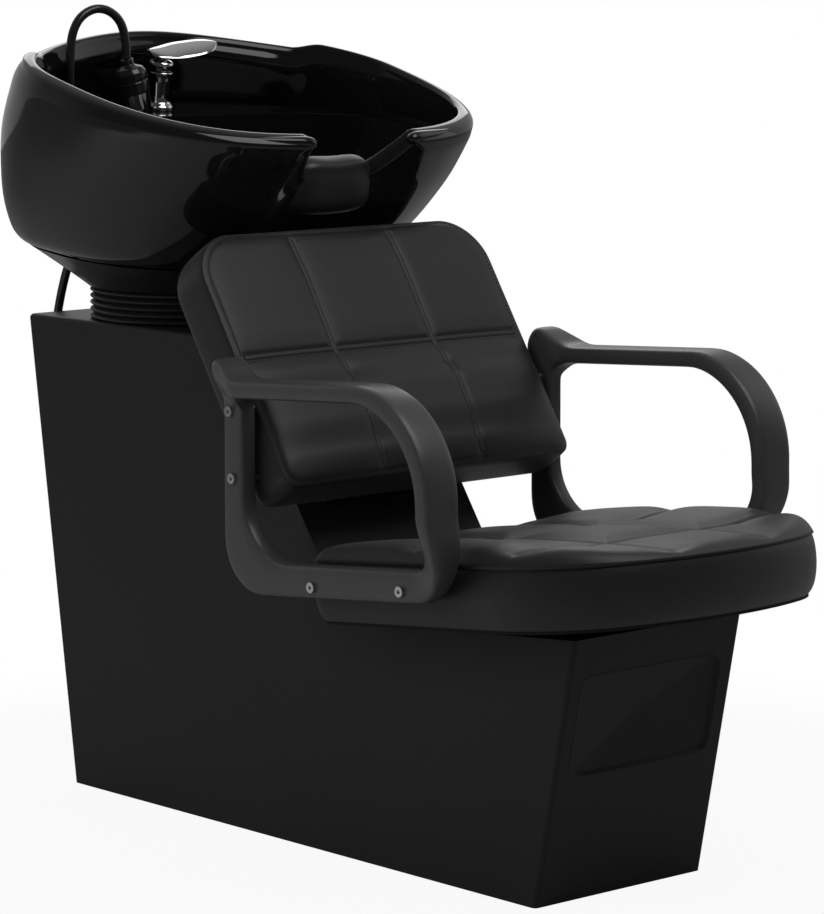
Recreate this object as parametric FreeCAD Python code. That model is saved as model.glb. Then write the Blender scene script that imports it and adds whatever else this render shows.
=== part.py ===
"""Backwash unit: moulded pedestal with a sewn seat and back, loop arms and a tilting shampoo bowl.

Millimetres, +Z up. The sitter faces -Y. Stations along Y are measured from the pedestal's front
foot while modelling; every finished piece is moved back by MIDDLE_Y, so that the origin lies on the
floor under the middle of the unit.
"""
import FreeCAD, Part
import math
import os
from FreeCAD import Placement, Rotation, Vector

# General
MIDDLE_Y = 417.7
OVERRUN = 20.0
RUNNING_GAP = 0.5
X_AXIS, Y_AXIS, Z_AXIS = Vector(1, 0, 0), Vector(0, 1, 0), Vector(0, 0, 1)
SIDES = (-1, 1)

# Pedestal: side outline stations and heights
BASE_WIDTH = 284.0
BASE_WALL = 5.0
REAR_FOOT_Y = 915.0
DECK_FRONT_Y, DECK_FRONT_Z = -66.0, 335.0
DECK_REAR_Y, DECK_REAR_Z = 345.0, 302.0
TOWER_FRONT_Y, TOWER_REAR_Y, TOWER_TOP_Z = 576.0, 1009.0, 640.0
BASE_EDGE_RADIUS = 6.0
BELLOWS_HOLE_RADIUS = 100.0

# Recess in the pedestal's front, measured along the leaning front wall
RECESS_WIDTH, RECESS_HEIGHT, RECESS_CENTRE_UP = 236.0, 130.0, 228.0
RECESS_CORNER, RECESS_STEP, RECESS_LIP, RECESS_POINT = 14.0, 8.0, 9.0, 16.0
RECESS_POINT_SHARE = 0.06

# Rear access panel, measured up the leaning rear wall
PANEL_WIDTH, PANEL_HEIGHT, PANEL_CENTRE_UP, PANEL_THICK = 200.0, 250.0, 230.0, 3.0
PANEL_LAP, PANEL_CORNER = 12.0, 10.0
PANEL_SCREW_RADIUS, PANEL_SCREW_HEAD, PANEL_SCREW_LENGTH, PANEL_HEAD_RADIUS = 2.0, 2.0, 8.0, 4.5

# Steel inner frame
RAIL_WIDTH, RAIL_HEIGHT, RAIL_WALL = 40.0, 25.0, 2.5
RAIL_SPREAD, RAIL_FRONT_Y, RAIL_REAR_Y = 180.0, 60.0, 900.0
PLATE_THICK = 6.0
ANCHOR_FRONT_Y, ANCHOR_REAR_Y, ANCHOR_PLATE_LENGTH = 120.0, 872.0, 50.0
ANCHOR_SPREAD, ANCHOR_HOLE_RADIUS = 80.0, 5.5
POST_DEPTH = 40.0
SEAT_POST_Y = 100.0

# Seat, tilted with its front up; heights from the underside of its board
SEAT_TILT = 5.6
SEAT_LEVEL_Z = 346.5
SEAT_HALF, SEAT_FRONT_Y, SEAT_REAR_Y = 244.0, -200.0, 302.0
SEAT_CORNER_RADIUS, SEAT_FRONT_RADIUS, SEAT_REAR_RADIUS = 150.0, 420.0, 30.0
SEAT_BOARD, SEAT_SEAM_Z, SEAT_CROWN = 15.0, 76.0, 22.0
SEAT_DRAWN_IN, SEAT_PUFF = 7.0, 5.0
SEAT_CHANNEL_X, SEAT_CHANNEL_FRONT_Y, SEAT_CHANNEL_REAR_Y = 78.0, -60.0, 110.0
CHANNEL_WIDTH, CHANNEL_DEPTH, CHANNEL_MARGIN = 13.0, 8.0, 40.0
BATTEN_WIDTH, BATTEN_INSET = 34.0, 12.0
SEAT_BATTEN_TOP, SEAT_BATTEN_FRONT_Y, SEAT_BATTEN_REAR_Y = 66.0, 40.0, 286.0

# Backrest: frame at its lower seam; lengths up the back, depths square to it
BACK_SEAM_Y, BACK_SEAM_Z, BACK_RECLINE = 337.5, 480.0, 33.0
BACK_WIDER = 1.0
BACK_HALF, BACK_LENGTH, BACK_DEPTH, BACK_BOARD = SEAT_HALF + BACK_WIDER, 356.0, 64.0, 15.0
BACK_TOP_RADIUS, BACK_FOOT_RADIUS = 66.0, 22.0
BACK_CREASE_UP, BACK_LUMBAR_UP = 198.0, 130.0
BACK_UPPER_CROWN, BACK_LUMBAR_CROWN, BACK_CREASE_CROWN, BACK_EDGE_CROWN = 14.0, 24.0, 4.0, 6.0
BACK_FOOT_ROLL = 12.0
BACK_CHANNEL_X = 77.0
BACK_BATTEN_FOOT_UP, BACK_BATTEN_TOP_UP, BACK_BATTEN_COVER = 18.0, 150.0, 8.0
BACK_BRACKET_WIDTH, BACK_BRACKET_FOOT_UP, BACK_BRACKET_TOP_UP = 60.0, 20.0, 150.0
BACK_BRACKET_X = 70.0

# Loop arms: outline stations in the side view, and where the legs and the band lie across
ARM_SEAT_GAP, ARM_LEG_THICK, ARM_BAND_STEP, ARM_BAND_WIDTH = 5.0, 26.0, 7.0, 54.0
ARM_LEG_INNER = SEAT_HALF + ARM_SEAT_GAP
ARM_LEG_OUTER = ARM_LEG_INNER + ARM_LEG_THICK
ARM_BAND_INNER = ARM_LEG_INNER + ARM_BAND_STEP
ARM_BAND_OUTER = ARM_BAND_INNER + ARM_BAND_WIDTH
ARM_TIP = (434.0, 627.0)
ARM_TIP_TOP = (418.0, 642.0)
ARM_TIP_ROOT = (369.5, 617.0)
ARM_BEND_TOP = (128.5, 632.0)
ARM_BEND_MID = (42.5, 589.0)
ARM_FRONT = (9.5, 483.0)
ARM_FOOT_MID = (15.0, 417.0)
ARM_FOOT = (54.0, 377.5)
ARM_HEEL = (361.5, 348.0)
ARM_HEEL_MID = (405.5, 368.0)
ARM_POST_FOOT = (423.5, 414.0)
ARM_POST_TOP = (422.0, 598.0)
ARM_HOLE_REAR_TOP = (388.0, 593.5)
ARM_HOLE_BEND_TOP = (136.5, 609.0)
ARM_HOLE_BEND_MID = (62.5, 573.0)
ARM_HOLE_FRONT = (32.5, 483.0)
ARM_HOLE_FOOT_MID = (37.5, 437.5)
ARM_HOLE_FOOT = (67.0, 415.0)
ARM_HOLE_HEEL = (313.5, 393.0)
ARM_HOLE_HEEL_MID = (362.0, 413.0)
ARM_HOLE_POST = (387.0, 460.0)
ARM_RAIL_SPLIT_Z, ARM_POST_SPLIT_Y = 426.0, 381.5
ARM_BLEND_Y, ARM_BLEND_Z = 30.0, 591.0
ARM_TAPER_TOP_Z, ARM_TAPER_FOOT_Z, ARM_TAPER_TOP_Y, ARM_TAPER_REAR_Y = 501.0, 401.0, 322.0, 426.0
ARM_BOLT_PLACES = ((407.5, 573.0), (402.5, 490.0), (252.5, 373.0), (91.5, 389.0))
BOLT_RADIUS, BOLT_HOLE_RADIUS, BOLT_HEAD_RADIUS, BOLT_HEAD_HEIGHT = 4.0, 4.3, 6.5, 4.5
BOLT_SOCKET_RADIUS, BOLT_SOCKET_DEPTH, BOLT_GRIP = 2.6, 2.5, 26.0
SPACER_RADIUS = 9.0

# Bowl: each loop is an oval, fuller in front, in a plane that leans further forward as it rises
BOWL_TURN_STEPS = 10
BOWL_TURN_STEP = 15.0
NOTCH_POINT_SHARES = (1.4, 1.02, 0.86, 0.68, 0.45, 0.0)
BOWL_REAR_POWER, BOWL_FRONT_POWER = 2.0, 2.85
BOWL_HALF, BOWL_REAR, BOWL_FRONT = 305.0, 207.0, 282.0
BOWL_RIM_Y, BOWL_RIM_Z, BOWL_RIM_SLOPE = 745.0, 965.5, 0.268
BOWL_RIM_ROLL, BOWL_RIM_HEIGHT, BOWL_WALL = 24.0, 9.0, 10.0
SEAM_HALF, SEAM_REAR, SEAM_FRONT, SEAM_Y, SEAM_Z, SEAM_SLOPE = 236.0, 165.0, 200.0, 845.0, 740.0, 0.11
BODY_BULGE_REAR, BODY_BULGE_HALF = 34.0, -4.0
REAR_DIP, REAR_DIP_SHARE, REAR_DIP_MIDDLE_SHARE = 9.0, 0.8, 0.35
BODY_LEVEL_SHARES = (0.30, 0.60, 0.86)
BODY_FULL_SHARES = (0.60, 0.92, 1.03)
BODY_BULGE_SHARES = (0.75, 1.0, 0.45)
NOTCH_HALF, NOTCH_FLAT, NOTCH_DIP, NOTCH_SET_BACK = 98.0, 46.0, 48.0, 64.0
NOTCH_LEVEL_SHARES = (0.4, 0.75, 0.95)
NOTCH_FOOT_SPREAD_SHARE = 1.75
DECK_Z, DECK_FRONT, DECK_SLOPE, DECK_PLATE = 900.0, 88.0, 0.12, 9.0
FLOOR_HALF, FLOOR_REAR, FLOOR_FRONT, FLOOR_Y, FLOOR_Z = 170.0, 38.0, 120.0, 800.0, 756.0
BASIN_WAIST_SHARES = (0.42, 0.70, 0.85, 0.35)
BASIN_REAR_SHARE = 0.5
CAVITY_HALF, CAVITY_FRONT_Y, CAVITY_REAR_Y = 165.0, 860.0, 948.0

# Lower cover and bellows
BELLOWS_Y, BELLOWS_RADIUS, BELLOWS_ROOT, BELLOWS_BORE = 820.0, 142.0, 130.0, 122.0
BELLOWS_RIBS, BELLOWS_TOP_Z = 5, 684.0
RIB_RISE_SHARE, RIB_FALL_SHARE = 0.35, 0.65
COVER_WALL, COVER_STEP, COVER_FLOOR = 4.0, 5.0, 4.0
COVER_HOLE_RADIUS = 92.0

# Tilt bracket, pivot and yoke
PIVOT_Z = 664.0
EAR_X, EAR_THICK, EAR_RADIUS, EAR_BASE = 72.0, 6.0, 15.0, 44.0
LUG_GAP = 0.5
PIN_RADIUS, PIN_HEAD_RADIUS, PIN_HEAD, PIN_FIT = 6.0, 9.0, 4.0, 0.1
BRACKET_WIDTH, BRACKET_LENGTH, BRACKET_HOLE_RADIUS = 230.0, 180.0, 46.0
YOKE_WIDTH, YOKE_LENGTH = 176.0, 120.0
STANDOFF_RADIUS, STANDOFF_X, STANDOFF_Y = 11.0, 70.0, 42.0

# Drain
STRAINER_RADIUS, STRAINER_THICK, DRAIN_RADIUS, DRAIN_BORE = 33.0, 3.0, 20.0, 17.0
DRAIN_NUT_RADIUS, DRAIN_NUT_HEIGHT = 30.0, 10.0
STRAINER_HOLES, STRAINER_HOLE_RADIUS, STRAINER_HOLE_CIRCLE = 8, 3.0, 11.0
TAIL_END_Z, OUTLET_TOP_Z, OUTLET_END_Z = 712.0, 150.0, 40.0
HOSE_WALL = 3.0
OUTLET_COLLAR_RADIUS, OUTLET_ARM_WIDTH = 30.0, 30.0

# Neck rest
NECK_HALF, NECK_RADIUS, NECK_RISE = 62.0, 21.0, 12.0
NECK_Y, NECK_Z, NECK_LEAN, NECK_REACH, NECK_SEAT_GAP = 540.0, 829.0, 27.0, 22.0, 0.3
NECK_LAP_SHARE = 0.42

# Mixer tap on the bowl's deck
TAP_X, TAP_Y = 6.0, 906.0
TAP_FLANGE_RADIUS, TAP_FLANGE_HEIGHT, TAP_WAIST, TAP_SHOULDER, TAP_HEIGHT = 23.0, 8.0, 17.0, 18.5, 52.0
TAP_STEM_RADIUS, TAP_NUT_RADIUS, TAP_NUT_HEIGHT, TAP_STEM_LENGTH = 11.0, 19.0, 9.0, 34.0
TAP_COVE = 4.0
HUB_RADIUS, HUB_HEIGHT = 18.5, 20.0
LEVER_TURN, LEVER_RISE, LEVER_BANK = -12.0, 9.0, 24.0
LEVER_LENGTH, LEVER_WIDTH, LEVER_THICK = 82.0, 40.0, 6.0
LEVER_ROOT, LEVER_PIN_RADIUS, LEVER_CHEEK = 20.0, 2.5, 8.0
LEVER_WIDTH_SHARES = (0.62, 0.86, 1.0, 0.86, 0.34)
LEVER_LENGTH_SHARES = (0.0, 0.28, 0.6, 0.88, 1.0)

# Hand sprayer in its holder, and its hose
HOLDER_X, HOLDER_Y, HOLDER_LEAN = -52.0, 878.0, 14.0
HOLDER_RADIUS, HOLDER_BORE, HOLDER_HEIGHT, HOLDER_STEM = 21.0, 15.0, 20.0, 8.0
SPRAYER_RADIUS, SPRAYER_NECK, SPRAYER_LENGTH, SPRAYER_PLUG_RADIUS = 23.0, 9.0, 38.0, 14.6
HOSE_RADIUS, HOSE_FIT = 6.0, 0.3
HOSE_BEND_SHARE = 0.45
GUIDE_X, GUIDE_Y, GUIDE_RADIUS, GUIDE_HEIGHT, GUIDE_BORE = -156.0, 886.0, 13.0, 14.0, 6.5
SUPPLY_X = -84.0
GROMMET_UP, GROMMET_RADIUS, GROMMET_FLANGE, GROMMET_FLANGE_RADIUS = 494.0, 11.0, 4.0, 16.0
GROMMET_TAIL, GROMMET_LEAD = 14.0, 19.0

# Routes of the two hoses as they lie: full places, and stations with heights behind the tower
SPRAYER_HOSE_ROUTE = ((-156.0, 886.0, 950.0), (-157.0, 886.5, 990.0), (-153.0, 886.0, 1025.0),
                      (-138.0, 884.5, 1048.0), (-111.0, 882.0, 1058.0), (-84.0, 880.0, 1048.0),
                      (-69.0, 878.5, 1023.0))
SUPPLY_HOSE_ROUTE = ((974.0, 735.0), (992.0, 708.0), (1010.0, 666.0), (1024.0, 618.0), (1033.0, 568.0),
                     (1036.0, 526.0), (1026.0, 500.0))


def out(name, shape):
    """Moves a finished piece to the unit's own origin and writes it."""
    moved = shape.copy()
    moved.translate(Vector(0, -MIDDLE_Y, 0))
    moved.exportStep("parts/" + name + ".step")
    print(name, len(moved.Solids), moved.isValid(), round(moved.Volume / 1000))


def box(x0, x1, y0, y1, z0, z1):
    """Box between two corners."""
    return Part.makeBox(x1 - x0, y1 - y0, z1 - z0, Vector(x0, y0, z0))


def rod(start, axis, radius, length):
    """Cylinder from a start point along an axis."""
    return Part.makeCylinder(radius, length, start, axis)


def ring(start, axis, radius, bore, length):
    """Tube from a start point along an axis."""
    return rod(start, axis, radius, length).cut(rod(start, axis, bore, length))


def turned(points, start=Vector(0, 0, 0)):
    """Solid of revolution about Z from (radius, height) points, closed along the axis."""
    wire = Part.makePolygon([Vector(r, 0, z) + start for r, z in points + points[:1]])
    return Part.Face(wire).revolve(start, Z_AXIS, 360)


def side_prism(points, x0, x1):
    """Prism across X of an outline given as (station, height)."""
    corners = [Vector(x0, y, z) for y, z in points]
    face = Part.Face(Part.makePolygon(corners + corners[:1]))
    return face.extrude(Vector(x1 - x0, 0, 0))


def rounded_plate(width, height, corner, depth):
    """Plate with round corners, centred on the origin, from z = 0 upwards."""
    plate = Part.makeBox(width, height, depth, Vector(-width / 2, -height / 2, 0))
    upright = [e for e in plate.Edges if round(abs(e.tangentAt(e.FirstParameter).z)) == 1]
    return plate.makeFillet(corner, upright)


def wall_frame(foot, head, up):
    """Placement on a wall in the side view: local Y runs up the wall, local Z out of it."""
    run = Vector(0, head[0] - foot[0], head[1] - foot[1]).normalize()
    normal = X_AXIS.cross(run)
    return Placement(Vector(0, foot[0], foot[1]) + run * up, Rotation(X_AXIS, run, normal, "XYZ"))


def placed(shape, placement):
    """Copy of a shape carried from its local frame."""
    moved = shape.copy()
    moved.Placement = placement.multiply(moved.Placement)
    return moved


def arc(a, b, c):
    """Edge of the circle through three points."""
    return Part.Arc(a, b, c).toShape()


def line(a, b):
    """Straight edge."""
    return Part.LineSegment(a, b).toShape()


# Pedestal

BASE_HALF = BASE_WIDTH / 2
BASE_OUTLINE = [(0, 0), (DECK_FRONT_Y, DECK_FRONT_Z), (DECK_REAR_Y, DECK_REAR_Z),
                (TOWER_FRONT_Y, TOWER_TOP_Z), (TOWER_REAR_Y, TOWER_TOP_Z), (REAR_FOOT_Y, 0)]
FRONT_WALL = wall_frame(BASE_OUTLINE[0], BASE_OUTLINE[1], RECESS_CENTRE_UP)
REAR_FRAME_FOOT = (REAR_FOOT_Y, 0)
REAR_FRAME_HEAD = (TOWER_REAR_Y, TOWER_TOP_Z)


def rear_frame(up):
    """Frame on the rear wall, with local Z pointing out of the pedestal."""
    inward = wall_frame(REAR_FRAME_FOOT, REAR_FRAME_HEAD, up)
    return inward.multiply(Placement(Vector(0, 0, 0), Rotation(Y_AXIS, 180)))


def below_floor(foot, head):
    """Point where a leaning wall, carried on downwards, passes the overrun below the floor."""
    slope = (head[0] - foot[0]) / (head[1] - foot[1])
    return (foot[0] - slope * OVERRUN, -OVERRUN)


def base_room():
    """Room inside the pedestal: the outline drawn in by the wall, open at the floor."""
    outline = [below_floor(BASE_OUTLINE[0], BASE_OUTLINE[1])] + BASE_OUTLINE[1:5]
    outline.append(below_floor(REAR_FRAME_FOOT, REAR_FRAME_HEAD))
    corners = [Vector(0, y, z) for y, z in outline]
    wire = Part.makePolygon(corners + corners[:1])
    inset = wire.makeOffset2D(-BASE_WALL)
    room = Part.Face(inset).extrude(Vector(BASE_WIDTH - 2 * BASE_WALL, 0, 0))
    room.translate(Vector(-BASE_HALF + BASE_WALL, 0, 0))
    return room


def recess_cut(grow):
    """Recess with a stepped lip and a shallow four-sided point, or its outside when grown."""
    width, height = RECESS_WIDTH + 2 * grow, RECESS_HEIGHT + 2 * grow
    step = rounded_plate(width, height, RECESS_CORNER + grow, RECESS_STEP + grow + OVERRUN)
    step.translate(Vector(0, 0, -RECESS_STEP - grow))
    tops = []
    for share, depth in ((1, RECESS_STEP + grow), (RECESS_POINT_SHARE, RECESS_STEP + grow + RECESS_POINT)):
        half_w = (width / 2 - RECESS_LIP) * share
        half_h = (height / 2 - RECESS_LIP) * share
        signs = ((-1, -1), (1, -1), (1, 1), (-1, 1))
        corners = [Vector(sx * half_w, sy * half_h, -depth) for sx, sy in signs]
        tops.append(Part.makePolygon(corners + corners[:1]))
    return placed(step.fuse(Part.makeLoft(tops, True, True)), FRONT_WALL)


def base_shell():
    """Moulded shell of seat plinth and tower, with the front recess and its openings."""
    shell = side_prism(BASE_OUTLINE, -BASE_HALF, BASE_HALF)
    rounded = []
    for edge in shell.Edges:
        low, high = edge.BoundBox.ZMin, edge.BoundBox.ZMax
        at_top = low > TOWER_TOP_Z - BASE_WALL
        mid_y = edge.CenterOfMass.y
        front_side = low < BASE_WALL and high > DECK_FRONT_Z - BASE_WALL and mid_y < 0
        rear_side = low < BASE_WALL and high > TOWER_TOP_Z - BASE_WALL
        if at_top or front_side or rear_side:
            rounded.append(edge)
    shell = shell.makeFillet(BASE_EDGE_RADIUS, rounded)
    shell = shell.cut(base_room().cut(recess_cut(BASE_WALL)))
    shell = shell.cut(recess_cut(0))
    hole = rod(Vector(0, BELLOWS_Y, TOWER_TOP_Z - OVERRUN), Z_AXIS, BELLOWS_HOLE_RADIUS, 2 * OVERRUN)
    lap = 2 * PANEL_LAP
    window = rounded_plate(PANEL_WIDTH - lap, PANEL_HEIGHT - lap, PANEL_CORNER, 2 * OVERRUN)
    window.translate(Vector(0, 0, -OVERRUN))
    shell = shell.cut(hole).cut(placed(window, rear_frame(PANEL_CENTRE_UP)))
    shell = shell.cut(panel_screws(PANEL_SCREW_RADIUS))
    grommet_hole = rod(Vector(-SUPPLY_X, 0, -OVERRUN), Z_AXIS, GROMMET_RADIUS, 2 * OVERRUN)
    return shell.cut(placed(grommet_hole, rear_frame(GROMMET_UP)))


def panel_screws(shank):
    """Four panel screws as shanks and heads, in place."""
    screws = []
    reach_x = PANEL_WIDTH / 2 - PANEL_LAP / 2
    reach_y = PANEL_HEIGHT / 2 - PANEL_LAP / 2
    for sx in SIDES:
        for sy in SIDES:
            foot = Vector(sx * reach_x, sy * reach_y, PANEL_THICK - PANEL_SCREW_LENGTH)
            shaft = rod(foot, Z_AXIS, shank, PANEL_SCREW_LENGTH)
            head = rod(foot + Z_AXIS * PANEL_SCREW_LENGTH, Z_AXIS, PANEL_HEAD_RADIUS, PANEL_SCREW_HEAD)
            screws.append(shaft.fuse(head).removeSplitter())
    return placed(Part.makeCompound(screws), rear_frame(PANEL_CENTRE_UP))


def rear_panel():
    """Flat access panel lapped over the opening in the rear wall."""
    panel = rounded_plate(PANEL_WIDTH, PANEL_HEIGHT, PANEL_CORNER, PANEL_THICK)
    return placed(panel, rear_frame(PANEL_CENTRE_UP)).cut(panel_screws(PANEL_SCREW_RADIUS))


def square_tube(x, y0, y1, z0, z1):
    """Rail along Y of rectangular tube."""
    outer = box(x - RAIL_WIDTH / 2, x + RAIL_WIDTH / 2, y0, y1, z0, z1)
    inner = box(x - RAIL_WIDTH / 2 + RAIL_WALL, x + RAIL_WIDTH / 2 - RAIL_WALL, y0, y1,
                z0 + RAIL_WALL, z1 - RAIL_WALL)
    return outer.cut(inner)


def deck_height(y):
    """Height of the seat deck's top at a station."""
    return DECK_FRONT_Z + (DECK_REAR_Z - DECK_FRONT_Z) * (y - DECK_FRONT_Y) / (DECK_REAR_Y - DECK_FRONT_Y)


def base_frame():
    """Welded frame: floor rails, anchor plates, tower posts under the bracket and seat posts."""
    half = RAIL_SPREAD / 2
    bracket_under = TOWER_TOP_Z - BASE_WALL - PLATE_THICK
    room_under_deck = deck_height(SEAT_POST_Y + POST_DEPTH / 2) - BASE_WALL - RUNNING_GAP
    pieces = []
    for side in SIDES:
        x = side * half
        pieces.append(square_tube(x, RAIL_FRONT_Y, RAIL_REAR_Y, 0, RAIL_HEIGHT))
        for y, top in ((BELLOWS_Y - BRACKET_LENGTH / 2 + RAIL_WIDTH, bracket_under),
                       (BELLOWS_Y, bracket_under), (SEAT_POST_Y, room_under_deck)):
            pieces.append(box(x - RAIL_WIDTH / 2, x + RAIL_WIDTH / 2, y - POST_DEPTH / 2,
                              y + POST_DEPTH / 2, RAIL_HEIGHT, top))
    for y in (ANCHOR_FRONT_Y, ANCHOR_REAR_Y):
        inner = half - RAIL_WIDTH / 2
        plate = box(-inner, inner, y - ANCHOR_PLATE_LENGTH / 2, y + ANCHOR_PLATE_LENGTH / 2, 0, PLATE_THICK)
        for side in SIDES:
            hole_at = Vector(side * ANCHOR_SPREAD / 2, y, -OVERRUN)
            plate = plate.cut(rod(hole_at, Z_AXIS, ANCHOR_HOLE_RADIUS, 2 * OVERRUN))
        pieces.append(plate)
    pieces.append(box(-half, half, SEAT_POST_Y - POST_DEPTH / 2, SEAT_POST_Y + POST_DEPTH / 2,
                      room_under_deck - PLATE_THICK, room_under_deck))
    return pieces[0].multiFuse(pieces[1:]).removeSplitter()


# Seat

SEAT_FRAME = Placement(Vector(0, 0, SEAT_LEVEL_Z), Rotation(X_AXIS, -SEAT_TILT))


def seat_outline(inset, z):
    """Seat plan of lines and tangent arcs, drawn in by an inset, at a height."""
    half, front, rear = SEAT_HALF - inset, SEAT_FRONT_Y + inset, SEAT_REAR_Y - inset
    corner, bow = SEAT_CORNER_RADIUS - inset, SEAT_FRONT_RADIUS - inset
    back = max(SEAT_REAR_RADIUS - inset, SEAT_DRAWN_IN)
    bow_y = front + bow
    corner_x = half - corner
    corner_y = bow_y - math.sqrt((bow - corner) ** 2 - corner_x ** 2)
    lean = math.atan2(corner_x, bow_y - corner_y)
    meet = Vector(bow * math.sin(lean), bow_y - bow * math.cos(lean), z)
    corner_mid = Vector(corner_x + corner * math.cos(lean / 2 - math.radians(45)),
                        corner_y + corner * math.sin(lean / 2 - math.radians(45)), z)
    back_mid = back * (1 - math.cos(math.radians(45)))

    def flip(point):
        return Vector(-point.x, point.y, point.z)

    side_front = Vector(half, corner_y, z)
    side_rear = Vector(half, rear - back, z)
    rear_mid = Vector(half - back_mid, rear - back_mid, z)
    rear_end = Vector(half - back, rear, z)
    edges = [arc(flip(meet), Vector(0, front, z), meet), arc(meet, corner_mid, side_front),
             line(side_front, side_rear), arc(side_rear, rear_mid, rear_end),
             line(rear_end, flip(rear_end)),
             arc(flip(rear_end), flip(rear_mid), flip(side_rear)), line(flip(side_rear), flip(side_front)),
             arc(flip(side_front), flip(corner_mid), flip(meet))]
    return Part.Wire(edges)


def seat_channels():
    """Grooves between the sewn panels: two along the seat and two across it."""
    top = SEAT_SEAM_Z + SEAT_CROWN
    half = CHANNEL_WIDTH / 2
    cuts = []
    for side in SIDES:
        x = side * SEAT_CHANNEL_X
        low, high = Vector(x, 0, top - CHANNEL_DEPTH), top + CHANNEL_DEPTH
        corners = [low, Vector(x + 2 * half, 0, high), Vector(x - 2 * half, 0, high)]
        groove = Part.Face(Part.makePolygon(corners + corners[:1]))
        groove.translate(Vector(0, SEAT_FRONT_Y + CHANNEL_MARGIN, 0))
        cuts.append(groove.extrude(Vector(0, SEAT_REAR_Y - SEAT_FRONT_Y - 2 * CHANNEL_MARGIN, 0)))
    for y in (SEAT_CHANNEL_FRONT_Y, SEAT_CHANNEL_REAR_Y):
        high = top + CHANNEL_DEPTH
        outline = [(y, top - CHANNEL_DEPTH), (y + 2 * half, high), (y - 2 * half, high)]
        cuts.append(side_prism(outline, -SEAT_HALF + CHANNEL_MARGIN, SEAT_HALF - CHANNEL_MARGIN))
    return Part.makeCompound(cuts)


def seat_batten(side, grow):
    """Side batten that takes the arm bolts, in the seat's frame."""
    outer = SEAT_HALF - BATTEN_INSET
    x0, x1 = sorted((side * outer, side * (outer - BATTEN_WIDTH)))
    return box(x0, x1, SEAT_BATTEN_FRONT_Y, SEAT_BATTEN_REAR_Y, SEAT_BOARD - grow, SEAT_BATTEN_TOP)


def seat_board():
    """Plywood board with its two side battens."""
    board = Part.Face(seat_outline(BATTEN_INSET, 0)).extrude(Z_AXIS * SEAT_BOARD)
    for side in SIDES:
        board = board.fuse(seat_batten(side, 0))
    return placed(board.removeSplitter(), SEAT_FRAME).cut(arm_bolts(BOLT_RADIUS))


def seat_cushion():
    """Cushion with drawn-in sides, crown and sewn channels, hollow round the battens."""
    crown = SEAT_SEAM_Z + SEAT_CROWN
    levels = ((BATTEN_INSET, 0), (SEAT_DRAWN_IN, SEAT_BOARD), (0, SEAT_SEAM_Z / 2),
              (SEAT_PUFF, SEAT_SEAM_Z), (2 * SEAT_DRAWN_IN, SEAT_SEAM_Z + SEAT_CROWN / 2),
              (CHANNEL_MARGIN, crown - SEAT_PUFF), (2 * CHANNEL_MARGIN, crown))
    solid = Part.makeLoft([seat_outline(inset, z) for inset, z in levels], True, True)
    board_room = Part.Face(seat_outline(BATTEN_INSET, 0)).extrude(Z_AXIS * SEAT_BOARD)
    solid = solid.cut(board_room).cut(seat_channels())
    for side in SIDES:
        solid = solid.cut(seat_batten(side, SEAT_BOARD))
    return placed(solid, SEAT_FRAME).cut(arm_spacer_holes())


def seat_bracket():
    """Pressed carrier between the deck and the seat board."""
    front, rear = SEAT_POST_Y - POST_DEPTH, SEAT_POST_Y + 3 * POST_DEPTH
    slope = math.tan(math.radians(SEAT_TILT))
    outline = [(front, deck_height(front)), (front, SEAT_LEVEL_Z - slope * front),
               (rear, SEAT_LEVEL_Z - slope * rear), (rear, deck_height(rear))]
    solid = side_prism(outline, -BASE_HALF + RAIL_WIDTH, BASE_HALF - RAIL_WIDTH)
    ceiling = SEAT_LEVEL_Z - PLATE_THICK
    inside = [(front + PLATE_THICK, 0), (front + PLATE_THICK, ceiling - slope * front),
              (rear - PLATE_THICK, ceiling - slope * rear), (rear - PLATE_THICK, 0)]
    inner = side_prism(inside, -BASE_HALF, BASE_HALF)
    return solid.cut(inner)


# Backrest

BACK_RUN = Vector(0, math.sin(math.radians(BACK_RECLINE)), math.cos(math.radians(BACK_RECLINE)))
BACK_FRAME = Placement(Vector(0, BACK_SEAM_Y, BACK_SEAM_Z),
                       Rotation(X_AXIS, BACK_RUN, X_AXIS.cross(BACK_RUN), "XYZ"))


def back_section(up, half, crown, depth):
    """Cross-section of the back at a length up it: flat rear, sides to the seam and a crowned front."""
    left, right = Vector(-half, up, 0), Vector(half, up, 0)
    left_rear, right_rear = Vector(-half, up, -depth), Vector(half, up, -depth)
    edges = [line(left_rear, right_rear), line(right_rear, right), arc(right, Vector(0, up, crown), left),
             line(left, left_rear)]
    return Part.Wire(edges)


def back_stations():
    """(length up, half width, crown, depth) down the back, with round corners at foot and top."""
    rows = []
    for turn in (90, 45, 0):
        sine, cosine = math.sin(math.radians(turn)), math.cos(math.radians(turn))
        rows.append((BACK_FOOT_RADIUS * (1 - sine), BACK_HALF - BACK_FOOT_RADIUS * (1 - cosine),
                     BACK_EDGE_CROWN + BACK_FOOT_ROLL * cosine, BACK_DEPTH - BACK_FOOT_ROLL * sine))
    rows.append((BACK_LUMBAR_UP, BACK_HALF, BACK_LUMBAR_CROWN, BACK_DEPTH))
    rows.append((BACK_CREASE_UP, BACK_HALF, BACK_CREASE_CROWN, BACK_DEPTH))
    rows.append((BACK_CREASE_UP + CHANNEL_MARGIN, BACK_HALF, BACK_UPPER_CROWN, BACK_DEPTH))
    for turn in (0, 30, 60, 80, 90):
        sine, cosine = math.sin(math.radians(turn)), math.cos(math.radians(turn))
        rows.append((BACK_LENGTH - BACK_TOP_RADIUS * (1 - sine), BACK_HALF - BACK_TOP_RADIUS * (1 - cosine),
                     BACK_EDGE_CROWN + (BACK_UPPER_CROWN - BACK_EDGE_CROWN) * cosine,
                     BACK_DEPTH - BACK_FOOT_ROLL * (1 - cosine)))
    return rows


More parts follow.
